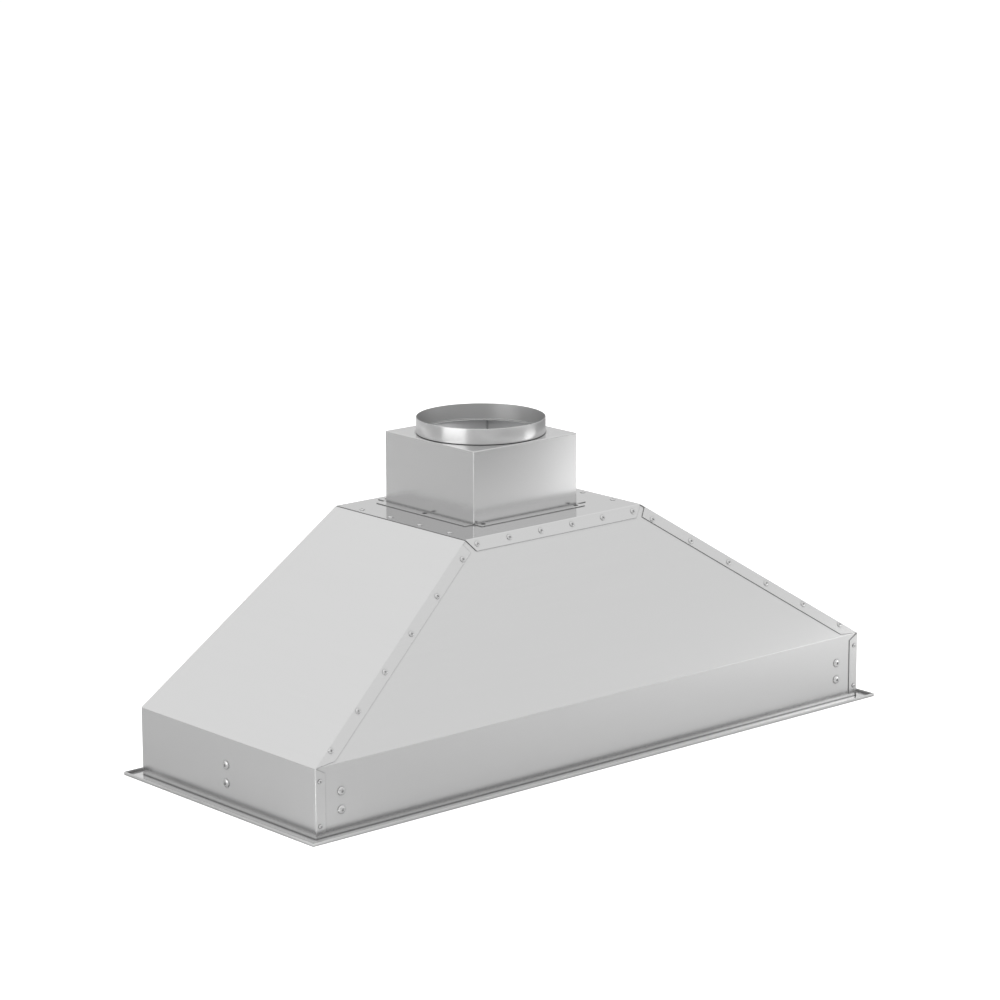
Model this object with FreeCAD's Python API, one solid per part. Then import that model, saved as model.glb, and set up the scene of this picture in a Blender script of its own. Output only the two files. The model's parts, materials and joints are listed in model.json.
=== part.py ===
import FreeCAD, Part
import math
import os

from FreeCAD import Placement, Rotation, Vector

# Outdoor range hood, built as a folded sheet-metal cabinet insert.
# Millimetres. +X runs along the long side, +Y points to the flat back, +Z points up.
# The origin is the middle of the footprint, on the surface that the trim rests on.

# Envelope: the trim is the 46 inch nominal width, the collar takes an 8 inch duct
trim_width = 1168.0
trim_depth = 464.0
trim_overhang = 21.0
lip_height = 5.0
sheet = 1.2
fold_radius = 1.2
band_height = 107.0
hood_height = 362.0
top_width = 362.0
top_depth = 308.0

# Folded edges of the cabinet panels
hip_flange = 19.0
hip_flange_lead = 33.0
hip_flange_gap = 10.0
band_flange = 18.0
band_flange_drop = 10.0
band_flange_foot = 7.0
top_flange = 20.0
top_flange_mitre = 17.6
top_tab = 22.0

# Duct box and collar
box_side = 213.0
box_height = 114.0
box_corner_radius = 2.0
box_flange = 18.5
box_screw_radius = 2.7
box_screw_inset = 10.5
duct_from_back = 137.0
collar_radius = 101.5
collar_wall = 0.9
collar_height = 25.4
collar_foot = 4.0
collar_bend = 1.5

# Fasteners of the cabinet
rivet_radius = 4.2
rivet_height = 1.9
rivet_crown_share = 0.55
rivet_skirt_share = 0.35
small_rivet_radius = 3.3
bracket_screw_radius = 3.0
bracket_head_radius = 6.4
bracket_head_height = 3.2
screw_clearance = 0.2
hip_rivet_start = 40.0
hip_rivet_end = 29.4
hip_rivet_count = 6
hip_rivet_low_share = 0.25
hip_rivet_high_share = 0.74
top_rivet_end = 20.0
top_rivet_count = 6
side_rivet_end = 49.0
side_rivet_count = 4
side_rivet_inset = 12.0
band_rivet_inset = 8.0
band_rivet_low = 19.5
band_rivet_high = 87.0
bracket_from_end = 48.0
bracket_screw_low = 36.5
bracket_screw_pitch = 28.0

# Pan: the folded plate under the hood that carries filters, lamps and buttons
rim_inset = 12.0
recess = 25.0
opening_ledge = 8.0
control_strip = 85.0
rear_margin = 15.0

# Brackets that tie the pan to the cabinet walls
bracket_sheet = 1.5
bracket_width = 30.0
bracket_top_margin = 17.0
bracket_foot = 24.0

# Baffle filters
filter_count = 3
filter_end_margin = 20.0
filter_gap = 6.0
filter_height = 20.0
filter_sheet = 0.8
filter_channel = 12.0
filter_play = 0.6
baffle_count = 11
baffle_height = 7.0
baffle_web_share = 0.70
rail_height = 14.0
rail_leg = 11.0
rail_sheet = 1.2
rail_end_margin = 18.0
rail_margin = 7.0
handle_wire = 2.5
handle_drop = 19.0
handle_bend = 8.0
handle_from_front = 46.0
handle_baffle_count = 4

# Lamps
lamp_count = 4
lamp_radius = 27.0
lamp_wall = 1.0
lamp_height = 30.0
lamp_from_end = 131.0
lamp_clearance = 0.3
bezel_width = 7.0
bezel_height = 2.0
bezel_lap = 2.5
lens_thickness = 2.2
lamp_board_radius = 20.0
lamp_board_sheet = 1.6
lamp_chip_radius = 8.0
lamp_chip_height = 1.2

# Push buttons and their switch housing
button_names = ["stop_button", "low_button", "medium_button", "high_button", "lamp_button"]
button_radius = 7.0
button_pitch = 26.0
button_proud = 3.0
button_travel = 2.5
button_clearance = 0.3
button_collar = 1.6
button_collar_height = 1.4
button_stem_radius = 2.5
button_stem = 7.0
control_plate_sheet = 1.5
control_plate_margin = 9.0
control_plate_radius = 6.0
control_box_wall = 1.6
control_box_height = 34.0
control_box_margin = 6.0
switch_width = 18.0
switch_depth = 20.0

# Blower: a double-inlet scroll with the motor inside its wheel
wheel_radius_share = 0.3043
wheel_half_width = 84.0
wheel_band = 12.0
wheel_band_sheet = 1.2
blade_count = 28
blade_depth_share = 0.186
blade_bow_share = 0.187
blade_sheet = 0.9
blade_tip_clearance = 0.1
blade_lean_deg = 11.0
disc_sheet = 1.6
hub_radius = 12.0
hub_half_length = 11.0
scroll_gap_share = 0.128
scroll_growth_share = 0.163
scroll_clearance = 12.0
scroll_sheet = 1.0
scroll_side_gap = 13.0
scroll_seam = 4.0
outlet_depth = 118.0
outlet_flange = 12.0
inlet_lip = 5.0
inlet_throat = 9.0
inlet_bend = 3.0
inlet_sheet = 1.0
outlet_screw_radius = 2.0
outlet_screw_head = 3.6
outlet_screw_head_height = 2.2
outlet_screw_count = 3
outlet_screw_tail = 5.0

# Motor
motor_gap = 18.0
motor_start = 14.0
motor_length = 92.0
bell_length = 10.0
bell_round = 6.0
shaft_radius = 6.0
shaft_clearance = 0.05
shaft_hub_end = 14.0
bearing_radius = 14.0
bearing_width = 8.0
motor_bore_radius = 10.0
bell_bore_gap = 2.0
spider_sheet = 2.5
spider_ring_radius = 30.0
spider_bore_radius = 17.0
spider_arm_width = 16.0
spider_arm_count = 3
spider_edge = 6.0
grommet_radius = 8.0
grommet_hole_radius = 3.0
motor_screw_radius = 2.5
motor_screw_head_radius = 5.0
motor_screw_head_height = 3.0
motor_screw_tail = 5.0

# Backdraft damper
damper_height = 27.0
damper_sheet = 1.2
damper_ledge = 5.0
damper_side_flange = 6.0
flap_sheet = 0.8
flap_gap = 1.2
flap_pin_radius = 2.0
flap_knuckle_radius = 3.4
flap_knuckle_clearance = 0.1
flap_knuckle_length = 22.0
flap_knuckle_gap = 1.0
flap_knuckle_share = 0.66
pin_clearance = 0.1

# Junction box, capacitor and cable gland on the inside of the back panel
junction_from_end = 233.0
junction_z = 130.0
junction_width = 120.0
junction_depth = 50.0
junction_height = 80.0
junction_sheet = 1.2
cover_lip = 8.0
cover_screw_radius = 2.0
cover_screw_head_radius = 4.0
cover_screw_head_height = 2.4
cover_screw_tail = 6.0
gland_from_end = 26.0
gland_radius = 8.0
gland_bore_radius = 5.0
gland_flange_radius = 13.0
gland_flange_length = 5.0
gland_nose_length = 12.0
gland_nut_length = 5.0
gland_nut_side_count = 6
capacitor_radius = 17.0
capacitor_length = 62.0
capacitor_clip = 1.5
terminal_width = 60.0
terminal_depth = 16.0
terminal_height = 18.0
terminal_way_count = 4
terminal_slot = 8.0
terminal_slot_share = 0.6

# One overrun for every cutting tool, so that cuts pass clean through
overrun = 10.0

# Turns and the share that tells an upright edge from a level one
full_turn_deg = 360
quarter_turn_deg = 90
upright_share = 0.9

# How near an edge lies to the line it is looked for on
on_line = 0.01

# Places worked out from the sizes above
body_width = trim_width - 2 * trim_overhang
body_depth = trim_depth - 2 * trim_overhang
wall_x = body_width / 2
wall_y = body_depth / 2
top_x = top_width / 2
top_front_y = wall_y - top_depth
deck_top = recess + sheet
top_under = hood_height - sheet
duct_y = wall_y - duct_from_back
box_half = box_side / 2
box_top = hood_height + box_height
rim_x = wall_x - rim_inset
rim_y = wall_y - rim_inset
filter_room = 2 * (rim_x - filter_end_margin) + filter_gap
filter_pitch = filter_room / filter_count
filter_width = filter_pitch - filter_gap
filter_back_y = rim_y - rear_margin
filter_front_y = control_strip + rail_leg + rail_margin - rim_y
filter_xs = [(i - (filter_count - 1) / 2) * filter_pitch for i in range(filter_count)]
bracket_x = wall_x - bracket_from_end
strip_y = -rim_y + control_strip / 2
junction_x = wall_x - junction_from_end
scroll_half = wheel_half_width + scroll_side_gap
outlet_half_y = outlet_depth / 2
filter_lift = filter_height + scroll_seam
scroll_floor = deck_top + filter_height + filter_lift + scroll_clearance - scroll_seam
wheel_radius = (top_under - scroll_floor) * wheel_radius_share
blade_depth = wheel_radius * blade_depth_share
blade_bow = blade_depth * blade_bow_share
inlet_radius = wheel_radius - blade_depth
motor_radius = inlet_radius - motor_gap
scroll_gap = wheel_radius * scroll_gap_share
scroll_growth = wheel_radius * scroll_growth_share
wheel_y = duct_y + outlet_half_y - (scroll_growth / 2 + wheel_radius + scroll_gap + 3 * scroll_growth)
wheel_z = scroll_floor + scroll_growth / 2 + wheel_radius + scroll_gap + 2 * scroll_growth
side_outer = scroll_half + scroll_sheet
spider_reach = inlet_radius + inlet_lip + spider_edge + grommet_radius
origin = Vector(0, 0, 0)
along_x = Vector(1, 0, 0)
along_y = Vector(0, 1, 0)
along_z = Vector(0, 0, 1)


def block(x0, x1, y0, y1, z0, z1):
    """Box between two corners."""
    return Part.makeBox(x1 - x0, y1 - y0, z1 - z0, Vector(x0, y0, z0))


def prism(axis, outline, start, stop):
    """Outline of 2D points drawn across an axis and carried along it from start to stop."""
    if axis == "x":
        points = [Vector(start, a, b) for a, b in outline]
        travel = along_x * (stop - start)
    elif axis == "y":
        points = [Vector(a, start, b) for a, b in outline]
        travel = along_y * (stop - start)
    else:
        points = [Vector(a, b, start) for a, b in outline]
        travel = along_z * (stop - start)
    return Part.Face(Part.makePolygon(points + points[:1])).extrude(travel)


def rod(base, direction, radius, length):
    """Round bar from a base point along a direction."""
    return Part.makeCylinder(radius, length, base, direction)


def turned(outline, base, direction):
    """Closed outline of (radius, height) points turned round an axis through base."""
    points = [Vector(r, 0, h) for r, h in outline]
    solid = Part.Face(Part.makePolygon(points + points[:1])).revolve(origin, along_z, full_turn_deg)
    solid.Placement = Placement(base, Rotation(along_z, direction))
    return solid


def parallel(line, distance):
    """Open line of 2D points moved to its left by a distance, with mitred corners."""
    normals = []
    for (a0, b0), (a1, b1) in zip(line, line[1:]):
        run = math.hypot(a1 - a0, b1 - b0)
        normals.append((-(b1 - b0) / run, (a1 - a0) / run))
    moved = []
    for i, (a, b) in enumerate(line):
        before = normals[max(i - 1, 0)]
        after = normals[min(i, len(normals) - 1)]
        spread = 1 + before[0] * after[0] + before[1] * after[1]
        moved.append((a + distance * (before[0] + after[0]) / spread,
                      b + distance * (before[1] + after[1]) / spread))
    return moved


def folded(line, thickness):
    """Outline of a folded sheet whose outer line is given, with its metal on the right."""
    return list(line) + parallel(line, -thickness)[::-1]


def mirrored(shape):
    """The same shape on the other side of the middle."""
    return shape.mirror(origin, along_x)


def both_sides(shape):
    """A shape with its mirror image."""
    return Part.makeCompound([shape, mirrored(shape)])


def along_slope(line, height):
    """Point at a height on the last run of a line."""
    (a0, b0), (a1, b1) = line[-2:]
    share = (height - b0) / (b1 - b0)
    return (a0 + (a1 - a0) * share, height)


def side_line(inset):
    """Left wall and left slope seen from the front, moved inwards by inset."""
    corner = [(-wall_x, -overrun), (-wall_x, band_height), (-top_x, hood_height)]
    rising = corner[:2] + [along_slope(corner, hood_height + overrun)]
    return parallel(rising, -inset)


def front_line(inset):
    """Front wall and front slope seen from the left end, moved inwards by inset."""
    corner = [(-wall_y, -overrun), (-wall_y, band_height), (top_front_y, hood_height)]
    rising = corner[:2] + [along_slope(corner, hood_height + overrun)]
    return parallel(rising, -inset)


def inside_sides(inset):
    """Everything between the two ends of the cabinet, with both ends moved inwards."""
    left = side_line(inset)
    right = [(-a, b) for a, b in reversed(left)]
    return prism("y", left + right, -trim_depth, trim_depth)


def inside_front(inset, back_inset):
    """Everything between the front and the back of the cabinet, each moved inwards."""
    line = front_line(inset)
    back = wall_y - back_inset
    return prism("x", line + [(back, line[-1][1]), (back, line[0][1])], -trim_width, trim_width)


def between_heights(low, high):
    """Slab that spans the whole plan between two heights."""
    return block(-trim_width, trim_width, -trim_depth, trim_depth, low, high)


def front_frame():
    """Hip corner, run of the hip, run across the front slope and its outward normal."""
    corner = Vector(-wall_x, -wall_y, band_height)
    hip = Vector(-top_x, top_front_y, hood_height) - corner
    normal = along_x.cross(Vector(0, top_front_y + wall_y, hood_height - band_height))
    normal = normal.normalize() * -1
    if normal.z < 0:
        normal = normal * -1
    run = Vector(hip).normalize()
    across = normal.cross(run).normalize()
    if across.x < 0:
        across = across * -1
    return corner, run, across, normal, hip.Length


def back_frame():
    """Hip corner, run of the hip and run across the back, in the back's outer plane."""
    run = Vector(wall_x - top_x, 0, hood_height - band_height)
    length = run.Length
    run.normalize()
    return Vector(-wall_x, wall_y, band_height), run, Vector(run.z, 0, -run.x), length


def plate_on(corner, run, across, normal, outline, thickness):
    """Flat plate drawn in its own plane and thickened along the normal."""
    points = [corner + run * s + across * w for s, w in outline]
    return Part.Face(Part.makePolygon(points + points[:1])).extrude(normal * thickness)


def hip_outline(length):
    """Hip flange in its plane: lead cut at the foot, square end short of the top."""
    return [(0, 0), (hip_flange_lead, hip_flange), (length - hip_flange_gap, hip_flange),
            (length - hip_flange_gap, -overrun), (-overrun, -overrun)]


def left_panel():
    """Left end: wall, slope, top tab and the flanges that lap over the front and back."""
    region = inside_front(-sheet, -sheet).common(between_heights(sheet, top_under))
    wall = prism("y", folded(side_line(0), sheet), -trim_depth, trim_depth)
    wall = rounded_at(wall, [Vector(-wall_x, 0, band_height)], fold_radius)
    shell = wall.common(region)
    inner = inside_front(sheet, sheet)
    slope_x = along_slope(side_line(0), top_under)[0]
    tab = block(slope_x, top_tab - top_x, -trim_depth, trim_depth, top_under - sheet, top_under)
    tab = tab.common(inner).common(inside_sides(0))
    corner, run, across, normal, length = front_frame()
    hip = plate_on(corner, run, across, normal, hip_outline(length), sheet)
    band = prism("y", [(-wall_x, band_flange_foot), (-wall_x, band_height),
                       (band_flange - wall_x, band_height - band_flange_drop),
                       (band_flange - wall_x, band_flange_foot + sheet),
                       (band_flange - sheet - wall_x, band_flange_foot)], -wall_y - sheet, -wall_y)
    back_corner, back_run, back_across, back_length = back_frame()
    back_hip = plate_on(back_corner, back_run, back_across, along_y, hip_outline(back_length), sheet)
    back_band = band.copy()
    back_band.translate(along_y * (body_depth + sheet))
    laps = hip.fuse([back_hip]).common(inside_sides(0)).common(region)
    return shell.fuse([tab, laps, band, back_band]).removeSplitter().cut(corner_trims())


def corner_trims():
    """Cutters that round the outer side of the left end's two upright folds."""
    reach = wall_y + sheet
    middle = Vector(fold_radius - wall_x, fold_radius - reach, -overrun)
    height = band_height + fold_radius + overrun
    corner = block(-wall_x - overrun, middle.x, -reach - overrun, middle.y, -overrun, height - overrun)
    trim = corner.cut(rod(middle, along_z, fold_radius, height))
    return Part.makeCompound([trim, trim.mirror(origin, along_y)])


def front_panel():
    """Front wall and slope in one sheet, between the two ends and under the top plate."""
    sheet_run = prism("x", folded(front_line(0), sheet), -trim_width, trim_width)
    sheet_run = rounded_at(sheet_run, [Vector(0, -wall_y, band_height)], fold_radius)
    return sheet_run.common(inside_sides(sheet)).common(between_heights(sheet, top_under))


def back_panel():
    """Flat back between the two ends, with the cable gland's hole."""
    slab = block(-trim_width, trim_width, wall_y - sheet, wall_y, sheet, top_under)
    return slab.common(inside_sides(sheet)).cut(gland_hole())


def top_plate():
    """Top plate with a flange folded down at the front and the back, and its holes."""
    outer_front = along_slope(front_line(-sheet), hood_height)
    slope = front_line(-sheet)
    rise = hood_height - band_height
    slope_length = math.hypot(top_front_y + wall_y, rise)
    low_front = along_slope(slope, hood_height - top_flange * rise / slope_length)
    back = wall_y + sheet
    line = [low_front, outer_front, (back, hood_height), (back, hood_height - top_flange)]
    plate = prism("x", folded(line, sheet), -top_x, top_x)
    plate = rounded_at(plate, [Vector(0, y, z) for y, z in line[1:3]], fold_radius)
    for side in ("front", "back"):
        plate = plate.cut(both_sides(top_mitre(side)))
    opening = block(-scroll_half, scroll_half, duct_y - outlet_half_y, duct_y + outlet_half_y,
                    hood_height - overrun, hood_height + overrun)
    return plate.cut(opening).cut(Part.makeCompound(box_screw_holes() + outlet_screw_holes()))


def top_mitre(side):
    """Cutter for the slanted left end of a folded-down flange."""
    past = 1 + sheet / top_flange
    low = hood_height - top_flange * past
    corner = [(-top_x, hood_height), (top_flange_mitre * past - top_x, low),
              (-top_x - overrun, low), (-top_x - overrun, hood_height)]
    if side == "front":
        return prism("y", corner, -wall_y, top_front_y)
    return prism("y", corner, wall_y, wall_y + overrun)


def box_screw_places():
    """Centres of the six screw holes in the duct box's flange, as (x, y) from its middle."""
    mid = box_half + box_flange / 2
    end = box_half - box_screw_inset
    return [(-end, -mid), (end, -mid), (-end, mid), (end, mid), (-mid, 0), (mid, 0)]


def box_screw_holes():
    """Cutters for the screw holes of the duct box's flange and of the top plate."""
    return [rod(Vector(x, duct_y + y, hood_height - overrun), along_z, box_screw_radius, 2 * overrun)
            for x, y in box_screw_places()]


def duct_box():
    """Square duct box: four walls, a top with the collar's hole and four turned-out flanges."""
    reach = box_half + box_flange
    flange = block(-reach, reach, duct_y - box_half, duct_y + box_half, hood_height, hood_height + sheet)
    cross = block(-box_half, box_half, duct_y - reach, duct_y + reach, hood_height, hood_height + sheet)
    outer = block(-box_half, box_half, duct_y - box_half, duct_y + box_half, hood_height, box_top)
    outer = rounded_upright(outer, box_corner_radius)
    outer = rounded_at(outer, [Vector(0, duct_y - box_half, box_top)], fold_radius)
    inner_half = box_half - sheet
    inner = block(-inner_half, inner_half, duct_y - inner_half, duct_y + inner_half,
                  hood_height - overrun, box_top - sheet)
    inner = rounded_upright(inner, box_corner_radius - sheet)
    hole = rod(Vector(0, duct_y, box_top - overrun), along_z, collar_radius - collar_foot, 2 * overrun)
    solid = outer.fuse([flange.fuse(cross)]).cut(inner).cut(hole)
    return solid.cut(Part.makeCompound(box_screw_holes())).removeSplitter()


def edges_through(solid, point):
    """Edges of a solid that pass through a point."""
    return [e for e in solid.Edges if e.distToShape(Part.Vertex(point))[0] < on_line]


def rounded_at(solid, points, radius):
    """Solid whose edges through some points are rounded, as the outer side of a fold is."""
    return solid.makeFillet(radius, [e for point in points for e in edges_through(solid, point)])


def rounded_upright(solid, radius):
    """Box with its four upright edges rounded."""
    upright = [e for e in solid.Edges if abs(e.tangentAt(e.FirstParameter).z) > upright_share]
    return solid.makeFillet(radius, upright)


def duct_collar():
    """Thin round collar that stands on the box's top, round its hole, on a foot that is turned inwards."""
    outer = collar_radius
    inner = collar_radius - collar_wall
    foot = collar_radius - collar_foot
    rim = box_top + collar_height
    outline = [(foot, box_top), (outer, box_top), (outer, rim), (inner, rim),
               (inner, box_top + collar_wall), (foot, box_top + collar_wall)]
    collar = turned(outline, Vector(0, duct_y, 0), along_z)
    outside = Vector(-outer, duct_y, box_top)
    inside = Vector(-inner, duct_y, box_top + collar_wall)
    collar = collar.makeFillet(collar_bend, edges_through(collar, outside))
    return collar.makeFillet(collar_bend - collar_wall, edges_through(collar, inside))


def head_outline(radius, height):
    """Upper half of a low domed head, from its rim to its crown, as (radius, height) points."""
    return [(radius, 0), (radius, height * rivet_skirt_share), (radius * rivet_crown_share, height),
            (0, height)]


def dome(base, direction, radius, height):
    """Low domed rivet head seated on a surface."""
    return turned([(0, 0)] + head_outline(radius, height), base, direction)


def spread(count, pitch):
    """Evenly spaced places about zero."""
    return [(i - (count - 1) / 2) * pitch for i in range(count)]


def hip_rivet_offsets(length):
    """Rivet places on a hip flange of a length: distance up the hip and distance in from its edge."""
    pitch = (length - hip_rivet_start - hip_rivet_end) / (hip_rivet_count - 1)
    drift = (hip_rivet_high_share - hip_rivet_low_share) / (hip_rivet_count - 1)
    return [(hip_rivet_start + i * pitch, hip_flange * (hip_rivet_low_share + i * drift))
            for i in range(hip_rivet_count)]


def front_hip_rivets():
    """Rivets down both front hips."""
    corner, run, across, normal, length = front_frame()
    heads = []
    for s, w in hip_rivet_offsets(length):
        place = corner + run * s + across * w + normal * sheet
        heads.append(dome(place, normal, rivet_radius, rivet_height))
    return both_sides(Part.makeCompound(heads))


def back_hip_rivets():
    """Rivets down both hips of the back."""
    corner, run, across, length = back_frame()
    heads = []
    for s, w in hip_rivet_offsets(length):
        place = corner + run * s + across * w + along_y * sheet
        heads.append(dome(place, along_y, rivet_radius, rivet_height))
    return both_sides(Part.makeCompound(heads))


def top_rivets():
    """Rivets of the top plate: front flange, back flange and both side edges."""
    corner, run, across, normal, length = front_frame()
    down = normal.cross(along_x)
    if down.z > 0:
        down = down * -1
    crease = Vector(0, top_front_y, hood_height) + normal * sheet
    heads = []
    for x in spread(top_rivet_count, (top_width - 2 * top_rivet_end) / (top_rivet_count - 1)):
        place = crease + along_x * x + down * (top_flange / 2)
        heads.append(dome(place, normal, rivet_radius, rivet_height))
        rear = Vector(x, wall_y + sheet, hood_height - top_flange / 2)
        heads.append(dome(rear, along_y, rivet_radius, rivet_height))
    side_pitch = (top_depth - 2 * side_rivet_end) / (side_rivet_count - 1)
    for i in range(side_rivet_count):
        y = wall_y - side_rivet_end - i * side_pitch
        for x in (side_rivet_inset - top_x, top_x - side_rivet_inset):
            heads.append(dome(Vector(x, y, hood_height), along_z, rivet_radius, rivet_height))
    return Part.makeCompound(heads)


def band_rivets():
    """Small rivets on the upright flanges at the four corners."""
    heads = []
    x = band_rivet_inset - wall_x
    for z in (band_rivet_low, band_rivet_high):
        heads.append(dome(Vector(x, -wall_y - sheet, z), along_y * -1, small_rivet_radius, rivet_height))
        heads.append(dome(Vector(x, wall_y + sheet, z), along_y, small_rivet_radius, rivet_height))
    return both_sides(Part.makeCompound(heads))


def bracket_places():
    """Point at the foot of the wall's inner face and the inward direction, for each bracket."""
    inner_x = wall_x - sheet
    inner_y = wall_y - sheet
    return [(Vector(-bracket_x, -inner_y, 0), along_y), (Vector(bracket_x, -inner_y, 0), along_y),
            (Vector(-bracket_x, inner_y, 0), along_y * -1), (Vector(bracket_x, inner_y, 0), along_y * -1),
            (Vector(-inner_x, 0, 0), along_x), (Vector(inner_x, 0, 0), along_x * -1)]


def bracket_screw_heights():
    """Heights of a bracket's two screws."""
    return (bracket_screw_low, bracket_screw_low + bracket_screw_pitch)


def bracket_screw_holes():
    """Cutters for the bracket screws, through wall and bracket."""
    cutters = []
    for foot, inward in bracket_places():
        for z in bracket_screw_heights():
            base = foot - inward * overrun + along_z * z
            cutters.append(rod(base, inward, bracket_screw_radius + screw_clearance, 2 * overrun))
    return Part.makeCompound(cutters)


def pan_brackets():
    """Angle brackets: one leaf against the wall, one leaf on the pan's deck."""
    top = bracket_screw_low + bracket_screw_pitch + bracket_top_margin
    parts = []
    for foot, inward in bracket_places():
        line = [(0, top), (0, deck_top), (bracket_foot, deck_top)]
        outline = list(line) + parallel(line, bracket_sheet)[::-1]
        sideways = along_z.cross(inward)
        points = [foot + inward * a + along_z * b - sideways * (bracket_width / 2) for a, b in outline]
        parts.append(Part.Face(Part.makePolygon(points + points[:1])).extrude(sideways * bracket_width))
    return Part.makeCompound(parts).cut(bracket_screw_holes())


def bracket_screws():
    """Domed screws that hold the brackets to the walls."""
    grip = sheet + bracket_sheet + rivet_height
    parts = []
    for foot, inward in bracket_places():
        for z in bracket_screw_heights():
            seat = foot - inward * sheet + along_z * z
            parts.append(domed_screw(seat, inward * -1, grip))
    return Part.makeCompound(parts)


def domed_screw(seat, outward, grip):
    """Screw with a domed head that sits on a seat and a plain shank behind it."""
    shank = [(0, -grip), (bracket_screw_radius, -grip), (bracket_screw_radius, 0)]
    return turned(shank + head_outline(bracket_head_radius, bracket_head_height), seat, outward)


def face_pan():
    """One folded plate: upturned lip, flat rim, recessed deck with all its openings."""
    outer_x = trim_width / 2
    outer_y = trim_depth / 2
    lip = block(-outer_x, outer_x, -outer_y, outer_y, 0, lip_height)
    tray = block(sheet - outer_x, outer_x - sheet, sheet - outer_y, outer_y - sheet,
                 sheet, lip_height + overrun)
    raised = block(-rim_x, rim_x, -rim_y, rim_y, 0, deck_top)
    hollow = block(sheet - rim_x, rim_x - sheet, sheet - rim_y, rim_y - sheet, -overrun, recess)
    pan = lip.cut(tray).fuse(raised).cut(hollow)
    cutters = []
    for x in filter_xs:
        half = filter_width / 2 - opening_ledge
        cutters.append(block(x - half, x + half, filter_front_y + opening_ledge,
                             filter_back_y - opening_ledge, recess - overrun, deck_top + overrun))
    for x in lamp_xs():
        cutters.append(rod(Vector(x, strip_y, recess - overrun), along_z,
                           lamp_radius + lamp_clearance, 2 * overrun))
    return pan.cut(Part.makeCompound(cutters + button_holes())).removeSplitter()


def filter_rails():
    """Angle rails in front of and behind the filters, standing on the deck."""
    half = bracket_x - bracket_width / 2 - rail_end_margin
    front_y = filter_front_y - filter_play
    rear_y = filter_back_y + filter_play
    top = deck_top + rail_height
    front = [(front_y, top), (front_y, deck_top), (front_y - rail_leg, deck_top)]
    rear = [(rear_y, top), (rear_y, deck_top), (rear_y + rail_leg, deck_top)]
    front_outline = front + parallel(front, -rail_sheet)[::-1]
    rear_outline = rear + parallel(rear, rail_sheet)[::-1]
    return Part.makeCompound([prism("x", front_outline, -half, half), prism("x", rear_outline, -half, half)])


def filter_frame(x):
    """Channel frame of one filter, open in the middle, with its lips turned inwards."""
    half = filter_width / 2
    low = deck_top
    high = deck_top + filter_height
    t = filter_sheet
    c = filter_channel
    outer = block(x - half, x + half, filter_front_y, filter_back_y, low, high)
    hollow = block(x - half + t, x + half - t, filter_front_y + t, filter_back_y - t, low + t, high - t)
    window = block(x - half + c, x + half - c, filter_front_y + c, filter_back_y - c,
                   low - overrun, high + overrun)
    return outer.cut(hollow).cut(window)


def baffle_pitch():
    """Spacing of the baffles across a filter."""
    return (filter_width - 2 * filter_sheet) / (baffle_count + (1 - baffle_web_share) / 2)


def filter_baffles(x):
    """Two staggered rows of channel baffles; the lower ones open upwards, the upper ones downwards."""
    pitch = baffle_pitch()
    web = pitch * baffle_web_share / 2
    t = filter_sheet
    low = deck_top + t
    high = deck_top + filter_height - t
    start = filter_front_y + t
    stop = filter_back_y - t
    parts = []
    for a in spread(baffle_count, pitch):
        line = [(x + a - web, low + baffle_height), (x + a - web, low),
                (x + a + web, low), (x + a + web, low + baffle_height)]
        parts.append(prism("y", line + parallel(line, t)[::-1], start, stop))
    for a in spread(baffle_count - 1, pitch):
        line = [(x + a - web, high - baffle_height), (x + a - web, high),
                (x + a + web, high), (x + a + web, high - baffle_height)]
        parts.append(prism("y", line + parallel(line, -t)[::-1], start, stop))
    return Part.makeCompound(parts)


def filter_handle(x):
    """Round wire handle under one filter, welded to two of its lower baffles."""
    half = baffle_pitch() * handle_baffle_count / 2
    y = filter_front_y + handle_from_front
    top = deck_top + filter_sheet
    low = top - handle_drop
    r = handle_bend
    s = r * math.sqrt(0.5)
    points = [Vector(x - half, y, top), Vector(x - half, y, low + r), Vector(x - half + r, y, low),
              Vector(x + half - r, y, low), Vector(x + half, y, low + r), Vector(x + half, y, top)]
    mids = [Vector(x - half + r - s, y, low + r - s), Vector(x + half - r + s, y, low + r - s)]
    edges = [Part.makeLine(points[0], points[1]), Part.Arc(points[1], mids[0], points[2]).toShape(),
             Part.makeLine(points[2], points[3]), Part.Arc(points[3], mids[1], points[4]).toShape(),
             Part.makeLine(points[4], points[5])]
    section = Part.Wire([Part.makeCircle(handle_wire, points[0], along_z)])
    return Part.Wire(edges).makePipeShell([section], True, True)


def lamp_xs():
    """Places of the lamps along the control strip."""
    return spread(lamp_count, 2 * (rim_x - lamp_from_end) / (lamp_count - 1))


def lamp_module(base):
    """Light board under the can's top, with its round chip facing down."""
    seat = lamp_height - lamp_wall
    under = seat - lamp_board_sheet
    chip = under - lamp_chip_height
    return turned([(0, chip), (lamp_chip_radius, chip), (lamp_chip_radius, under), (lamp_board_radius, under),
                   (lamp_board_radius, seat), (0, seat)], base, along_z)


def lamp_parts():
    """Recessed lamps: can above the deck with its light board, bezel ring under it and a lens between them."""
    r = lamp_radius
    top = lamp_height
    inner = r - lamp_wall
    can = [(inner, 0), (r, 0), (r, top), (0, top), (0, top - lamp_wall), (inner, top - lamp_wall)]
    rim = r + bezel_width
    bore = r - bezel_lap - lamp_wall
    bezel = [(bore, -bezel_height), (rim - bezel_height / 2, -bezel_height), (rim, -bezel_height / 2),
             (rim, 0), (bore, 0)]
    cans = []
    bezels = []
    lenses = []
    for x in lamp_xs():
        base = Vector(x, strip_y, recess)
        cans += [turned(can, base, along_z), lamp_module(base)]
        bezels.append(turned(bezel, base, along_z))
        lenses.append(rod(base, along_z, r - lamp_wall - lamp_clearance, lens_thickness))
    return {"lamp_cans": Part.makeCompound(cans), "lamp_bezels": Part.makeCompound(bezels),
            "lamp_lenses": Part.makeCompound(lenses)}


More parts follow.
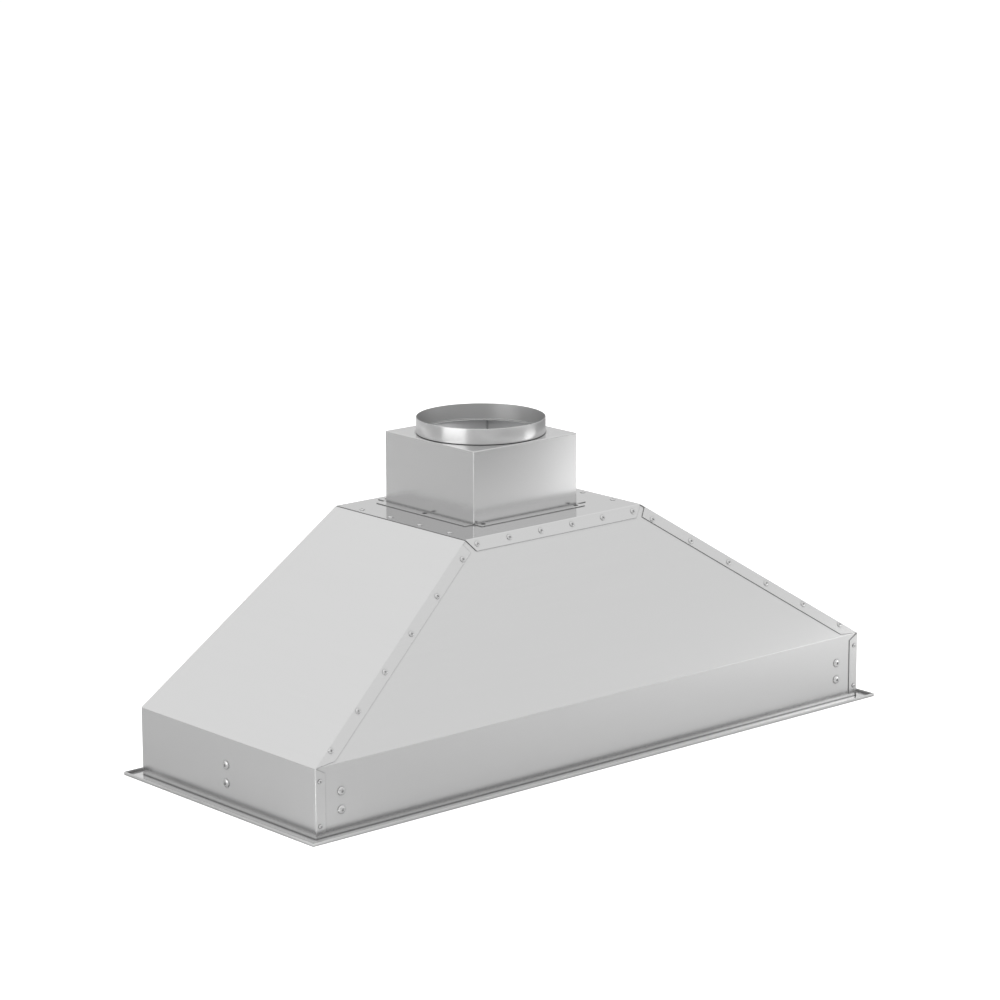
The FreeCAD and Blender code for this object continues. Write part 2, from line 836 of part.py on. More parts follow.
def button_holes():
    """Cutters for the buttons' caps, through the deck and the control plate."""
    return [rod(Vector(x, strip_y, recess - overrun), along_z, button_radius + button_clearance, 2 * overrun)
            for x in spread(len(button_names), button_pitch)]


def control_plate():
    """Small plate on the underside of the deck, with one hole for each button."""
    half_x = (len(button_names) - 1) * button_pitch / 2 + button_radius + control_plate_margin
    half_y = button_radius + control_plate_margin
    plate = block(-half_x, half_x, strip_y - half_y, strip_y + half_y, recess - control_plate_sheet, recess)
    plate = rounded_upright(plate, control_plate_radius)
    return plate.cut(Part.makeCompound(button_holes()))


def control_box():
    """Switch housing on the deck: open below, with a closed top."""
    half_x = (len(button_names) - 1) * button_pitch / 2 + switch_width / 2 + control_box_margin
    half_y = switch_depth / 2 + control_box_margin
    w = control_box_wall
    top = deck_top + control_box_height
    outer = block(-half_x, half_x, strip_y - half_y, strip_y + half_y, deck_top, top)
    inner = block(w - half_x, half_x - w, strip_y - half_y + w, strip_y + half_y - w,
                  deck_top - overrun, top - w)
    return outer.cut(inner)


def push_button(x):
    """Round button: cap through the plate, collar on the deck and a stem into its switch."""
    r = button_radius
    collar = button_radius + button_clearance + button_collar
    low = recess - control_plate_sheet - button_proud
    edge = button_clearance
    shoulder = deck_top + button_collar_height
    top = shoulder + button_stem
    outline = [(0, low), (r - edge, low), (r, low + edge), (r, deck_top), (collar, deck_top),
               (collar, shoulder), (button_stem_radius, shoulder), (button_stem_radius, top), (0, top)]
    return turned(outline, Vector(x, strip_y, 0), along_z)


def switch_blocks():
    """Sealed switches under the housing's top, each with a blind hole for its button's stem."""
    top = deck_top + control_box_height - control_box_wall
    low = deck_top + button_collar_height + button_travel + button_clearance
    parts = []
    for x in spread(len(button_names), button_pitch):
        body = block(x - switch_width / 2, x + switch_width / 2, strip_y - switch_depth / 2,
                     strip_y + switch_depth / 2, low, top)
        depth = button_stem + button_clearance
        hole = rod(Vector(x, strip_y, low - overrun), along_z, button_stem_radius + button_clearance,
                   depth + overrun)
        parts.append(body.cut(hole))
    return Part.makeCompound(parts)


def scroll_wire():
    """Air path of the blower seen from its end: a four-centre spiral and its outlet."""
    a = scroll_growth
    half = a / 2
    r0 = wheel_radius + scroll_gap
    centres = [(wheel_y - half, wheel_z + half, r0), (wheel_y - half, wheel_z - half, r0 + a),
               (wheel_y + half, wheel_z - half, r0 + 2 * a), (wheel_y + half, wheel_z + half, r0 + 3 * a)]
    spans = [(i * quarter_turn_deg, (i + 1) * quarter_turn_deg) for i in range(len(centres))]
    spans[0] = (quarter_turn_deg / 2, quarter_turn_deg)

    def at(i, angle):
        y, z, r = centres[i]
        return Vector(0, y + r * math.cos(math.radians(angle)), z + r * math.sin(math.radians(angle)))

    edges = []
    for i, (first, last) in enumerate(spans):
        edges.append(Part.Arc(at(i, first), at(i, (first + last) / 2), at(i, last)).toShape())
    nose = at(0, spans[0][0])
    rise = at(3, spans[3][1])
    top_back = Vector(0, rise.y, top_under)
    top_front = Vector(0, rise.y - outlet_depth, top_under)
    outlet = [rise, top_back, top_front, nose]
    edges += [Part.makeLine(a, b) for a, b in zip(outlet, outlet[1:])]
    return Part.Wire(edges)


def scroll_face(grow):
    """Air path grown outwards by a distance, as a face at x = 0."""
    wire = scroll_wire()
    if grow > 0:
        wire = wire.makeOffset2D(grow)
    return Part.Face(wire)


def outlet_screw_places():
    """Screws that clamp damper frame, top plate and blower outlet together, as (x, y)."""
    y = outlet_half_y + outlet_flange / 2
    xs = spread(outlet_screw_count, scroll_half * 2 / outlet_screw_count)
    return [(x, duct_y - y) for x in xs] + [(x, duct_y + y) for x in xs]


def outlet_screw_holes():
    """Cutters for the outlet screws."""
    radius = outlet_screw_radius + screw_clearance
    return [rod(Vector(x, y, hood_height - overrun), along_z, radius, 2 * overrun)
            for x, y in outlet_screw_places()]


def outlet_screws():
    """Screws through the damper frame, the top plate and the blower's outlet flange."""
    seat = hood_height + damper_sheet
    grip = damper_sheet + sheet + scroll_sheet + outlet_screw_tail
    outline = chamfered_screw(outlet_screw_radius, outlet_screw_head, outlet_screw_head_height, grip)
    return Part.makeCompound([turned(outline, Vector(x, y, seat), along_z)
                              for x, y in outlet_screw_places()])


def chamfered_screw(radius, head_radius, head_height, grip):
    """Outline of a small screw whose head tapers above half its height."""
    return [(0, -grip), (radius, -grip), (radius, 0), (head_radius, 0), (head_radius, head_height / 2),
            (head_radius / 2, head_height), (0, head_height)]


def scroll_wrapper():
    """Curved strip of the blower housing, with its outlet flanges under the top plate."""
    outer = scroll_face(scroll_sheet).extrude(along_x * (2 * scroll_half))
    inner = scroll_face(0).extrude(along_x * (2 * scroll_half))
    strip = outer.cut(inner)
    strip.translate(along_x * -scroll_half)
    strip = strip.cut(between_heights(top_under, hood_height + box_height))
    y0 = duct_y - outlet_half_y
    y1 = duct_y + outlet_half_y
    under = top_under - scroll_sheet
    front = block(-scroll_half, scroll_half, y0 - outlet_flange, y0, under, top_under)
    rear = block(-scroll_half, scroll_half, y1, y1 + outlet_flange, under, top_under)
    return strip.fuse([front, rear]).cut(Part.makeCompound(outlet_screw_holes())).removeSplitter()


def scroll_side(inner_x):
    """Right-hand side plate of the blower housing, round inlet and seam flange included."""
    plate = scroll_face(scroll_sheet + scroll_seam).extrude(along_x * scroll_sheet)
    plate.translate(along_x * inner_x)
    plate = plate.cut(between_heights(top_under, hood_height + box_height))
    inlet = rod(Vector(inner_x - overrun, wheel_y, wheel_z), along_x, inlet_radius, 2 * overrun)
    return plate.cut(inlet)


def motor_screw_holes():
    """Cutters for the three screws of the motor's spider."""
    length = motor_start + motor_length + spider_sheet - side_outer + 2 * overrun
    return [rod(Vector(side_outer - overrun, y, z), along_x, motor_screw_radius + screw_clearance, length)
            for y, z in spider_points(spider_reach)]


def spider_points(radius):
    """Places of the three arms' ends round the motor's axis."""
    step = 2 * math.pi / spider_arm_count
    return [(wheel_y + radius * math.sin(i * step), wheel_z + radius * math.cos(i * step))
            for i in range(spider_arm_count)]


def inlet_ring(inner_x):
    """Bell-mouth ring of the right-hand inlet: flat lip outside, throat curving in to the wheel."""
    t = inlet_sheet
    r = inlet_radius
    bend = inlet_bend
    outline = [(r - t, -inlet_throat), (r, -inlet_throat), (r, scroll_sheet), (r + inlet_lip, scroll_sheet),
               (r + inlet_lip, scroll_sheet + t), (r - t + bend, scroll_sheet + t),
               (r - t, scroll_sheet + t - bend)]
    return turned(outline, Vector(inner_x, wheel_y, wheel_z), along_x)


def wheel_blade():
    """One forward-curved blade of the right-hand row, from the centre disc to the end band's flange."""
    outer = wheel_radius - wheel_band_sheet - blade_tip_clearance
    lean = math.radians(blade_lean_deg)
    start = disc_sheet / 2
    stop = wheel_half_width - wheel_band_sheet
    tip = Vector(start, outer * math.sin(lean), outer * math.cos(lean))
    root = Vector(start, 0, inlet_radius)
    mid = (tip + root) * 0.5
    chord = (tip - root).normalize()
    side = Vector(0, chord.z, -chord.y)
    near = mid + side * blade_bow
    far = mid + side * (blade_bow + blade_sheet)
    tip_far = tip + side * blade_sheet
    root_far = root + side * blade_sheet
    edges = [Part.Arc(root, near, tip).toShape(), Part.makeLine(tip, tip_far),
             Part.Arc(tip_far, far, root_far).toShape(), Part.makeLine(root_far, root)]
    return Part.Face(Part.Wire(edges)).extrude(along_x * (stop - start))


def wheel_blades():
    """Two rows of blades, one on each side of the centre disc."""
    blade = wheel_blade()
    row = []
    for i in range(blade_count):
        copy = blade.copy()
        copy.rotate(origin, along_x, full_turn_deg * i / blade_count)
        row.append(copy)
    blades = both_sides(Part.makeCompound(row))
    blades.translate(Vector(0, wheel_y, wheel_z))
    return blades


def wheel_disc():
    """Centre disc of the wheel with its hub, bored for the shaft."""
    reach = wheel_radius - wheel_band_sheet
    bore = shaft_radius + shaft_clearance
    outline = [(bore, -hub_half_length), (hub_radius, -hub_half_length), (hub_radius, -disc_sheet / 2),
               (reach, -disc_sheet / 2), (reach, disc_sheet / 2), (hub_radius, disc_sheet / 2),
               (hub_radius, hub_half_length), (bore, hub_half_length)]
    return turned(outline, Vector(0, wheel_y, wheel_z), along_x)


def wheel_bands():
    """End bands: a ring round the blades' tips with a flange over the blades' ends."""
    end = wheel_half_width
    t = wheel_band_sheet
    outline = [(inlet_radius, end - t), (wheel_radius - t, end - t), (wheel_radius - t, end - wheel_band),
               (wheel_radius, end - wheel_band), (wheel_radius, end), (inlet_radius, end)]
    return both_sides(turned(outline, Vector(0, wheel_y, wheel_z), along_x))


def motor_parts():
    """Motor can, its two end bells, both bearings and the shaft."""
    axis = Vector(0, wheel_y, wheel_z)
    start = motor_start
    stop = motor_start + motor_length
    r = motor_radius
    bore = motor_bore_radius
    can = turned([(bore, start + bell_length), (r, start + bell_length), (r, stop - bell_length),
                  (bore, stop - bell_length)], axis, along_x)
    seat = bearing_radius + shaft_clearance
    free = shaft_radius + bell_bore_gap
    inner_bell = turned([(free, start), (r - bell_round, start), (r, start + bell_round),
                         (r, start + bell_length), (seat, start + bell_length),
                         (seat, start + bell_length - bearing_width),
                         (free, start + bell_length - bearing_width)], axis, along_x)
    outer_bell = turned([(free, stop), (r - bell_round, stop), (r, stop - bell_round),
                         (r, stop - bell_length), (seat, stop - bell_length),
                         (seat, stop - bell_length + bearing_width),
                         (free, stop - bell_length + bearing_width)], axis, along_x)
    ring = [(shaft_radius + shaft_clearance, 0), (bearing_radius, 0), (bearing_radius, bearing_width),
            (shaft_radius + shaft_clearance, bearing_width)]
    bearings = [turned(ring, axis + along_x * (start + bell_length - bearing_width), along_x),
                turned(ring, axis + along_x * (stop - bell_length), along_x)]
    shaft = rod(axis - along_x * shaft_hub_end, along_x, shaft_radius, stop + shaft_hub_end)
    return {"motor_can": can, "motor_end_bells": Part.makeCompound([inner_bell, outer_bell]),
            "motor_bearings": Part.makeCompound(bearings), "motor_shaft": shaft}


def motor_mount():
    """Three-armed spider on the motor's outer end, its rubber grommets and its screws."""
    face = motor_start + motor_length
    axis = Vector(face, wheel_y, wheel_z)
    spider = rod(axis, along_x, spider_ring_radius, spider_sheet)
    arms = []
    for i in range(spider_arm_count):
        arm = block(0, spider_sheet, -spider_arm_width / 2, spider_arm_width / 2, 0,
                    spider_reach + spider_arm_width / 2)
        arm.rotate(origin, along_x, -full_turn_deg * i / spider_arm_count)
        arm.translate(axis)
        arms.append(arm)
    spider = spider.fuse(arms).cut(rod(axis - along_x * overrun, along_x, spider_bore_radius, 2 * overrun))
    spider = spider.cut(Part.makeCompound(motor_screw_holes())).removeSplitter()
    gap = face - side_outer
    grommets = []
    screws = []
    for y, z in spider_points(spider_reach):
        pad = rod(Vector(side_outer, y, z), along_x, grommet_radius, gap)
        hole_base = Vector(side_outer - overrun, y, z)
        pad = pad.cut(rod(hole_base, along_x, grommet_hole_radius, gap + 2 * overrun))
        grommets.append(pad)
        grip = spider_sheet + gap + scroll_sheet + motor_screw_tail
        outline = [(0, -grip), (motor_screw_radius, -grip), (motor_screw_radius, 0),
                   (motor_screw_head_radius, 0), (motor_screw_head_radius, motor_screw_head_height),
                   (0, motor_screw_head_height)]
        screws.append(turned(outline, Vector(face + spider_sheet, y, z), along_x))
    return {"motor_spider": spider, "motor_grommets": Part.makeCompound(grommets),
            "motor_screws": Part.makeCompound(screws)}


def damper_frame():
    """Folded frame on the top plate: side flanges, walls, and a ledge that the flaps close on."""
    x = scroll_half
    y = outlet_half_y
    t = damper_sheet
    base = hood_height
    plate = block(-x - damper_side_flange, x + damper_side_flange, duct_y - y - outlet_flange,
                  duct_y + y + outlet_flange, base, base + t)
    walls = block(-x - t, x + t, duct_y - y - t, duct_y + y + t, base, base + damper_height)
    hollow = block(-x, x, duct_y - y, duct_y + y, base + t, base + damper_height + overrun)
    window = block(damper_ledge - x, x - damper_ledge, duct_y - y + damper_ledge, duct_y + y - damper_ledge,
                   base - overrun, base + damper_height)
    frame = plate.fuse(walls).cut(hollow).cut(window)
    pin_hole = rod(Vector(-x - t - overrun, duct_y, flap_axis_z()), along_x,
                   flap_pin_radius + pin_clearance, 2 * (x + t + overrun))
    return frame.cut(Part.makeCompound(outlet_screw_holes() + [pin_hole]))


def flap_axis_z():
    """Height of the flaps' common hinge axis."""
    return hood_height + damper_sheet + flap_knuckle_radius


def damper_pin():
    """Hinge pin of both flaps, held in the damper frame's ends."""
    reach = scroll_half + damper_sheet + flap_knuckle_gap
    return rod(Vector(-reach, duct_y, flap_axis_z()), along_x, flap_pin_radius, 2 * reach)


def damper_flap(side, knuckle_xs):
    """One flap: a flat blade with rolled knuckles on the shared pin."""
    z = hood_height + damper_sheet
    near = flap_knuckle_radius + flap_gap
    far = outlet_half_y - flap_gap
    half_x = scroll_half - flap_gap
    ys = sorted((duct_y + side * near, duct_y + side * far))
    blade = block(-half_x, half_x, ys[0], ys[1], z, z + flap_sheet)
    parts = []
    for x in knuckle_xs:
        x0 = x - flap_knuckle_length / 2
        x1 = x + flap_knuckle_length / 2
        ts = sorted((duct_y, duct_y + side * (near + flap_gap)))
        parts.append(block(x0, x1, ts[0], ts[1], z, z + flap_sheet))
        knuckle = Vector(x0, duct_y, flap_axis_z())
        parts.append(rod(knuckle, along_x, flap_knuckle_radius, flap_knuckle_length))
    bore = rod(Vector(-half_x - overrun, duct_y, flap_axis_z()), along_x,
               flap_pin_radius + flap_knuckle_clearance, 2 * (half_x + overrun))
    return blade.fuse(parts).cut(bore).removeSplitter()


def damper_flaps():
    """Front and rear flap, their knuckles side by side on the pin."""
    offset = scroll_half * flap_knuckle_share
    step = flap_knuckle_length / 2 + flap_knuckle_gap / 2
    return {"front_damper_flap": damper_flap(-1, [-offset - step, offset - step]),
            "rear_damper_flap": damper_flap(1, [step - offset, step + offset])}


def gland_x():
    """Place of the cable gland along the back, near the right end of the junction box."""
    return junction_x + junction_width / 2 - gland_from_end


def gland_centre():
    """Point on the back wall's inner face where the supply cable's gland goes through."""
    return Vector(gland_x(), wall_y - sheet, junction_z)


def gland_hole():
    """Cutter for the gland in the back panel and the junction box."""
    return rod(gland_centre() - along_y * overrun, along_y, gland_radius + screw_clearance, 2 * overrun)


def junction_corners():
    """Outer corners of the junction box: ends, front, back, floor and top."""
    back = wall_y - sheet
    return (junction_x - junction_width / 2, junction_x + junction_width / 2, back - junction_depth, back,
            junction_z - junction_height / 2, junction_z + junction_height / 2)


def cover_screw_xs():
    """Places of the cover's two screws along the junction box."""
    x0, x1 = junction_corners()[:2]
    inset = junction_sheet + cover_lip / 2
    return [x0 + inset, x1 - inset]


def cover_screw_holes():
    """Cutters for the cover's screws."""
    front = junction_corners()[2]
    radius = cover_screw_radius + screw_clearance
    return [rod(Vector(x, front - overrun, junction_z), along_y, radius, 2 * overrun)
            for x in cover_screw_xs()]


def junction_box():
    """Open tray on the back panel, with a lip at each end for the cover's screws."""
    x0, x1, front, back, z0, z1 = junction_corners()
    t = junction_sheet
    tray = block(x0, x1, front, back, z0, z1)
    tray = tray.cut(block(x0 + t, x1 - t, front - overrun, back - t, z0 + t, z1 - t))
    lips = [block(x, x + cover_lip, front, front + t, z0 + t, z1 - t) for x in (x0 + t, x1 - t - cover_lip)]
    return tray.fuse(lips).cut(Part.makeCompound(cover_screw_holes() + [gland_hole()])).removeSplitter()


def junction_cover():
    """Flat cover of the junction box."""
    x0, x1, front, back, z0, z1 = junction_corners()
    cover = block(x0, x1, front - junction_sheet, front, z0, z1)
    return cover.cut(Part.makeCompound(cover_screw_holes()))


def junction_screws():
    """Screws of the junction box's cover."""
    front = junction_corners()[2]
    grip = junction_sheet + cover_screw_tail
    outline = chamfered_screw(cover_screw_radius, cover_screw_head_radius, cover_screw_head_height, grip)
    return Part.makeCompound([turned(outline, Vector(x, front - junction_sheet, junction_z), along_y * -1)
                              for x in cover_screw_xs()])


def capacitor_base():
    """Middle of the run capacitor's left end."""
    x0, x1, front, back, z0, z1 = junction_corners()
    inset = junction_sheet + capacitor_radius + capacitor_clip
    return Vector(x0 + junction_sheet + cover_lip + capacitor_clip, back - inset, z1 - inset)


def capacitor_strap():
    """Clip that holds the run capacitor to the back of the junction box."""
    base = capacitor_base()
    back = junction_corners()[3] - junction_sheet
    reach = capacitor_radius + capacitor_clip
    x = base.x + (capacitor_length - capacitor_radius) / 2
    clip = block(x, x + capacitor_radius, base.y, back, base.z - reach, base.z + reach)
    return clip.cut(rod(base - along_x * overrun, along_x, capacitor_radius + shaft_clearance,
                        capacitor_length + 2 * overrun))


def terminal_strip():
    """Terminal block on the junction box's floor, with one open slot for each way."""
    x0, x1, front, back, z0, z1 = junction_corners()
    x = x0 + junction_sheet + cover_lip + capacitor_clip
    z = z0 + junction_sheet
    rear = back - junction_sheet - capacitor_clip
    strip = block(x, x + terminal_width, rear - terminal_depth, rear, z, z + terminal_height)
    slots = []
    for a in spread(terminal_way_count, terminal_width / terminal_way_count):
        mid = x + terminal_width / 2 + a
        slots.append(block(mid - terminal_slot / 2, mid + terminal_slot / 2, front,
                           rear - terminal_depth * terminal_slot_share, z + terminal_height / 2, z1))
    return strip.cut(Part.makeCompound(slots))


def junction_parts():
    """Junction box on the back panel with its cover, screws, capacitor, terminals and gland."""
    return {"junction_box": junction_box(), "junction_cover": junction_cover(),
            "junction_screws": junction_screws(),
            "run_capacitor": rod(capacitor_base(), along_x, capacitor_radius, capacitor_length),
            "capacitor_clip": capacitor_strap(), "terminal_block": terminal_strip(),
            "cable_gland": cable_gland(), "gland_nut": gland_nut()}


def cable_gland():
    """Cable gland in the back panel: flange and rounded nose outside, thread through the wall."""
    base = Vector(gland_x(), wall_y, junction_z)
    inner = sheet + junction_sheet + gland_nut_length + shaft_clearance
    outline = [(gland_bore_radius, -inner), (gland_radius, -inner), (gland_radius, 0),
               (gland_flange_radius, 0), (gland_flange_radius, gland_flange_length),
               (gland_radius + sheet, gland_flange_length),
               (gland_bore_radius + sheet, gland_nose_length), (gland_bore_radius, gland_nose_length)]
    return turned(outline, base, along_y)


def gland_nut():
    """Hexagon nut of the gland, inside the junction box."""
    corner = gland_flange_radius
    centre = Vector(gland_x(), wall_y - sheet - junction_sheet - gland_nut_length, junction_z)
    points = []
    for i in range(gland_nut_side_count):
        angle = 2 * math.pi * i / gland_nut_side_count
        points.append(centre + Vector(corner * math.cos(angle), 0, corner * math.sin(angle)))
    solid = Part.Face(Part.makePolygon(points + points[:1])).extrude(along_y * gland_nut_length)
    return solid.cut(rod(centre - along_y * overrun, along_y, gland_radius + shaft_clearance,
                         gland_nut_length + 2 * overrun))


def cabinet():
    """Sheet-metal cabinet, its duct box and its fasteners."""
    holes = bracket_screw_holes()
    left = left_panel()
    return {"face_pan": face_pan(), "front_panel": front_panel().cut(holes), "left_panel": left.cut(holes),
            "right_panel": mirrored(left).cut(holes), "back_panel": back_panel().cut(holes),
            "top_plate": top_plate(), "duct_box": duct_box(), "duct_collar": duct_collar(),
            "hip_rivets": Part.makeCompound([front_hip_rivets(), back_hip_rivets()]),
            "top_rivets": top_rivets(), "band_rivets": band_rivets(),
            "pan_brackets": pan_brackets(), "bracket_screws": bracket_screws()}


def filters():
    """The baffle filters, numbered from the left, and the rails that they stand between."""
    nodes = {"filter_rails": filter_rails()}
    for i, x in enumerate(filter_xs):
        number = i + 1
        nodes["filter_frame_%d" % number] = filter_frame(x)
        nodes["filter_baffles_%d" % number] = filter_baffles(x)
        nodes["filter_handle_%d" % number] = filter_handle(x)
    return nodes


def controls():
    """Control plate, switch housing, switches and buttons."""
    nodes = {"control_plate": control_plate(), "control_box": control_box(),
             "switch_blocks": switch_blocks()}
    for name, x in zip(button_names, spread(len(button_names), button_pitch)):
        nodes[name] = push_button(x)
    return nodes


def blower():
    """Blower housing, wheel, motor and mounting."""
    side = scroll_side(scroll_half)
    sides = [mirrored(side), side.cut(Part.makeCompound(motor_screw_holes()))]
    nodes = {"scroll_wrapper": scroll_wrapper(), "scroll_sides": Part.makeCompound(sides),
             "inlet_rings": both_sides(inlet_ring(scroll_half)), "wheel_disc": wheel_disc(),
             "wheel_blades": wheel_blades(), "wheel_bands": wheel_bands(), "outlet_screws": outlet_screws()}
    nodes.update(motor_parts())
    nodes.update(motor_mount())
    return nodes


def damper():
    """Backdraft damper inside the duct box."""
    nodes = {"damper_frame": damper_frame(), "damper_pin": damper_pin()}
    nodes.update(damper_flaps())
    return nodes


def build():
    """All pieces by name."""
    nodes = cabinet()
    nodes.update(filters())
    nodes.update(lamp_parts())
    nodes.update(controls())
    nodes.update(blower())
    nodes.update(damper())
    nodes.update(junction_parts())
    return nodes


os.makedirs("parts", exist_ok=True)
for node_name, shape in build().items():
    shape.exportStep("parts/%s.step" % node_name)
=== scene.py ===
"""Looks of an outdoor range hood: a riveted sheet-steel cabinet with its duct box, blower, filters and lamps.

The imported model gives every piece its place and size. This script gives the pieces their finishes, makes the
fastener heads and the collar again as finer surfaces, and adds the lamps' light chips. All lengths are in metres.
"""

import json
import logging
import math
from dataclasses import dataclass
from enum import Enum
from typing import Mapping, Sequence, Union

import bmesh
import bpy
import numpy as np
from mathutils import Matrix, Vector


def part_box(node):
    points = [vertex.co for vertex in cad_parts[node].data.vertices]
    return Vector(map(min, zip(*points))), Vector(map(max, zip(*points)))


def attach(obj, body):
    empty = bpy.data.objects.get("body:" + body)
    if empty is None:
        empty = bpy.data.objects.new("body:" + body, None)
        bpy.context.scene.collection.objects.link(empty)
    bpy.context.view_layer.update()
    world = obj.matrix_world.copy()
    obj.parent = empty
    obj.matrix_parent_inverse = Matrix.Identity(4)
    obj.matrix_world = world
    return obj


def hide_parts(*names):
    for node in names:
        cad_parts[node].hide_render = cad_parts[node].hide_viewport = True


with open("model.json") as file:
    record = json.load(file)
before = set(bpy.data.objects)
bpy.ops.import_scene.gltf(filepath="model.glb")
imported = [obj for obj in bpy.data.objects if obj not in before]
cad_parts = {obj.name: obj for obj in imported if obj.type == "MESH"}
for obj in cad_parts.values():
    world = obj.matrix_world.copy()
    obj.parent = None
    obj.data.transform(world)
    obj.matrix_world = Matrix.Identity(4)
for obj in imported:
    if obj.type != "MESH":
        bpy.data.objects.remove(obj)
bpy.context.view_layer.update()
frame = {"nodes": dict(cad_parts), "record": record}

LOG = logging.getLogger("range_hood")

Colour = tuple[float, float, float]
Paint = tuple[float, float, float, float]
Place = tuple[float, float, float]
Socket = bpy.types.NodeSocket
Feed = Union[Socket, float, int, Sequence[float]]

MM = 0.001
FULL_TURN = 2 * math.pi
SMOOTH_ANGLE = math.radians(32)
MERGE_GAP = 1e-7
# An axis whose upright part is over this share counts as upright.
STEEP = 0.9
# Corners over this share of the greatest radius belong to the rim of a fastener's head.
HEAD_RIM_SHARE = 0.95
# Nearly all values of a cloudy noise lie in this span.
NOISE_SPAN = (0.3, 0.7)
BLACK = (0.0, 0.0, 0.0, 1.0)
WHITE = (1.0, 1.0, 1.0, 1.0)


# Surfaces

@dataclass
class Surface:
    """Points and quads of a piece that is still being worked out.

    Attributes:
        points: Corner places, one row each.
        quads: Corner numbers of each face, one row of four each.
        sheet: Place of each corner on the flattened surface, in metres, or None.
    """

    points: np.ndarray
    quads: np.ndarray
    sheet: np.ndarray | None = None

    def repeated(self, places: np.ndarray, turns: np.ndarray) -> "Surface":
        """Copy the surface to many places.

        Each copy's points are the turn's matrix times the points, plus the place.

        Args:
            places: One place a row.
            turns: One 3 by 3 matrix for each place.

        Returns:
            One surface that holds all the copies.
        """
        points = np.einsum("kij,nj->kni", turns, self.points) + places[:, None, :]
        steps = np.arange(len(places)) * len(self.points)
        quads = self.quads[None, :, :] + steps[:, None, None]
        return Surface(points.reshape(-1, 3), quads.reshape(-1, 4))


def grid_quads(rows: int, columns: int) -> np.ndarray:
    """Quads between the rows of a grid whose last column joins its first.

    Args:
        rows: Number of rows of points.
        columns: Number of points in a row.

    Returns:
        Corner numbers, four a face, which turn left when they are seen from outside.
    """
    index = np.arange(rows * columns).reshape(rows, columns)
    index = np.concatenate([index, index[:, :1]], axis=1)
    corners = [index[:-1, :-1], index[:-1, 1:], index[1:, 1:], index[1:, :-1]]
    return np.stack(corners, axis=-1).reshape(-1, 4)


def turned(radii: np.ndarray, heights: np.ndarray, columns: int, closed: bool = False) -> Surface:
    """Turn a profile round the Z axis.

    A point of row i and column j lies at (radius cos a, radius sin a, height), where a is j shares of a full turn.
    A radius may differ from column to column, so that a recess can have a many-sided outline.

    Args:
        radii: Radius of each row, or of each row and column.
        heights: Height of each row, or of each row and column.
        columns: Number of points round the axis.
        closed: Whether the last row joins the first.

    Returns:
        The turned surface, with its flattened places.
    """
    angle = np.arange(columns) * FULL_TURN / columns
    radius = np.broadcast_to(radii.reshape(len(radii), -1), (len(radii), columns))
    height = np.broadcast_to(heights.reshape(len(heights), -1), (len(heights), columns))
    if closed:
        radius = np.concatenate([radius, radius[:1]])
        height = np.concatenate([height, height[:1]])
    points = np.stack([radius * np.cos(angle), radius * np.sin(angle), height], axis=-1)
    run = np.hypot(np.diff(radius[:, 0]), np.diff(height[:, 0]))
    along = np.concatenate([[0.0], np.cumsum(run)])
    sheet = np.stack(np.broadcast_arrays(angle[None, :] * radius.max(), along[:, None]), axis=-1)
    return Surface(points.reshape(-1, 3), grid_quads(len(radius), columns), sheet.reshape(-1, 2))


def turns_to(axes: np.ndarray) -> np.ndarray:
    """Matrices that carry the Z axis to each given direction.

    The first column is level where it can be: the cross product of the up direction with the axis.

    Args:
        axes: One direction of unit length a row.

    Returns:
        One 3 by 3 matrix for each direction.
    """
    up = np.where(np.abs(axes[:, 2:]) > STEEP, [[0.0, 1.0, 0.0]], [[0.0, 0.0, 1.0]])
    first = np.cross(up, axes)
    first /= np.linalg.norm(first, axis=1, keepdims=True)
    second = np.cross(axes, first)
    return np.stack([first, second, axes], axis=-1)


def make_piece(name: str, surface: Surface, finish: bpy.types.Material, body: str,
               stands_for: Sequence[str] = ()) -> bpy.types.Object:
    """Put a surface into a mesh and fasten it to a body.

    Args:
        name: Name of the new piece.
        surface: Its worked-out points and faces.
        finish: Its material.
        body: Body that it moves with.
        stands_for: Nodes that it takes the place of.

    Returns:
        The new object.
    """
    mesh = bpy.data.meshes.new(name)
    mesh.from_pydata(surface.points.tolist(), [], surface.quads.tolist())
    if surface.sheet is not None:
        layer = mesh.uv_layers.new(name="sheet")
        corners = np.zeros(len(mesh.loops), dtype=np.int32)
        mesh.loops.foreach_get("vertex_index", corners)
        layer.data.foreach_set("uv", surface.sheet[corners].astype(np.float32).ravel())
    close_poles(mesh)
    mesh.shade_smooth()
    mesh.set_sharp_from_angle(angle=SMOOTH_ANGLE)
    mesh.materials.append(finish)
    piece = bpy.data.objects.new(name, mesh)
    bpy.context.scene.collection.objects.link(piece)
    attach(piece, body)
    if stands_for:
        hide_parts(*stands_for)
    LOG.info("%s: %d faces on %s", name, len(mesh.polygons), body)
    return piece


def close_poles(mesh: bpy.types.Mesh) -> None:
    """Merge corners that lie on one another, as they do where a profile meets its axis.

    Args:
        mesh: The mesh to clean.
    """
    work = bmesh.new()
    work.from_mesh(mesh)
    bmesh.ops.remove_doubles(work, verts=work.verts, dist=MERGE_GAP)
    bmesh.ops.dissolve_degenerate(work, dist=MERGE_GAP, edges=work.edges)
    work.to_mesh(mesh)
    work.free()


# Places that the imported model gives

@dataclass(frozen=True)
class Pin:
    """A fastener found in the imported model.

    Attributes:
        crown: Middle of its outermost face.
        axis: Direction in which its head points.
        length: Its length from end to end.
        radius: Radius of its head.
    """

    crown: np.ndarray
    axis: np.ndarray
    length: float
    radius: float


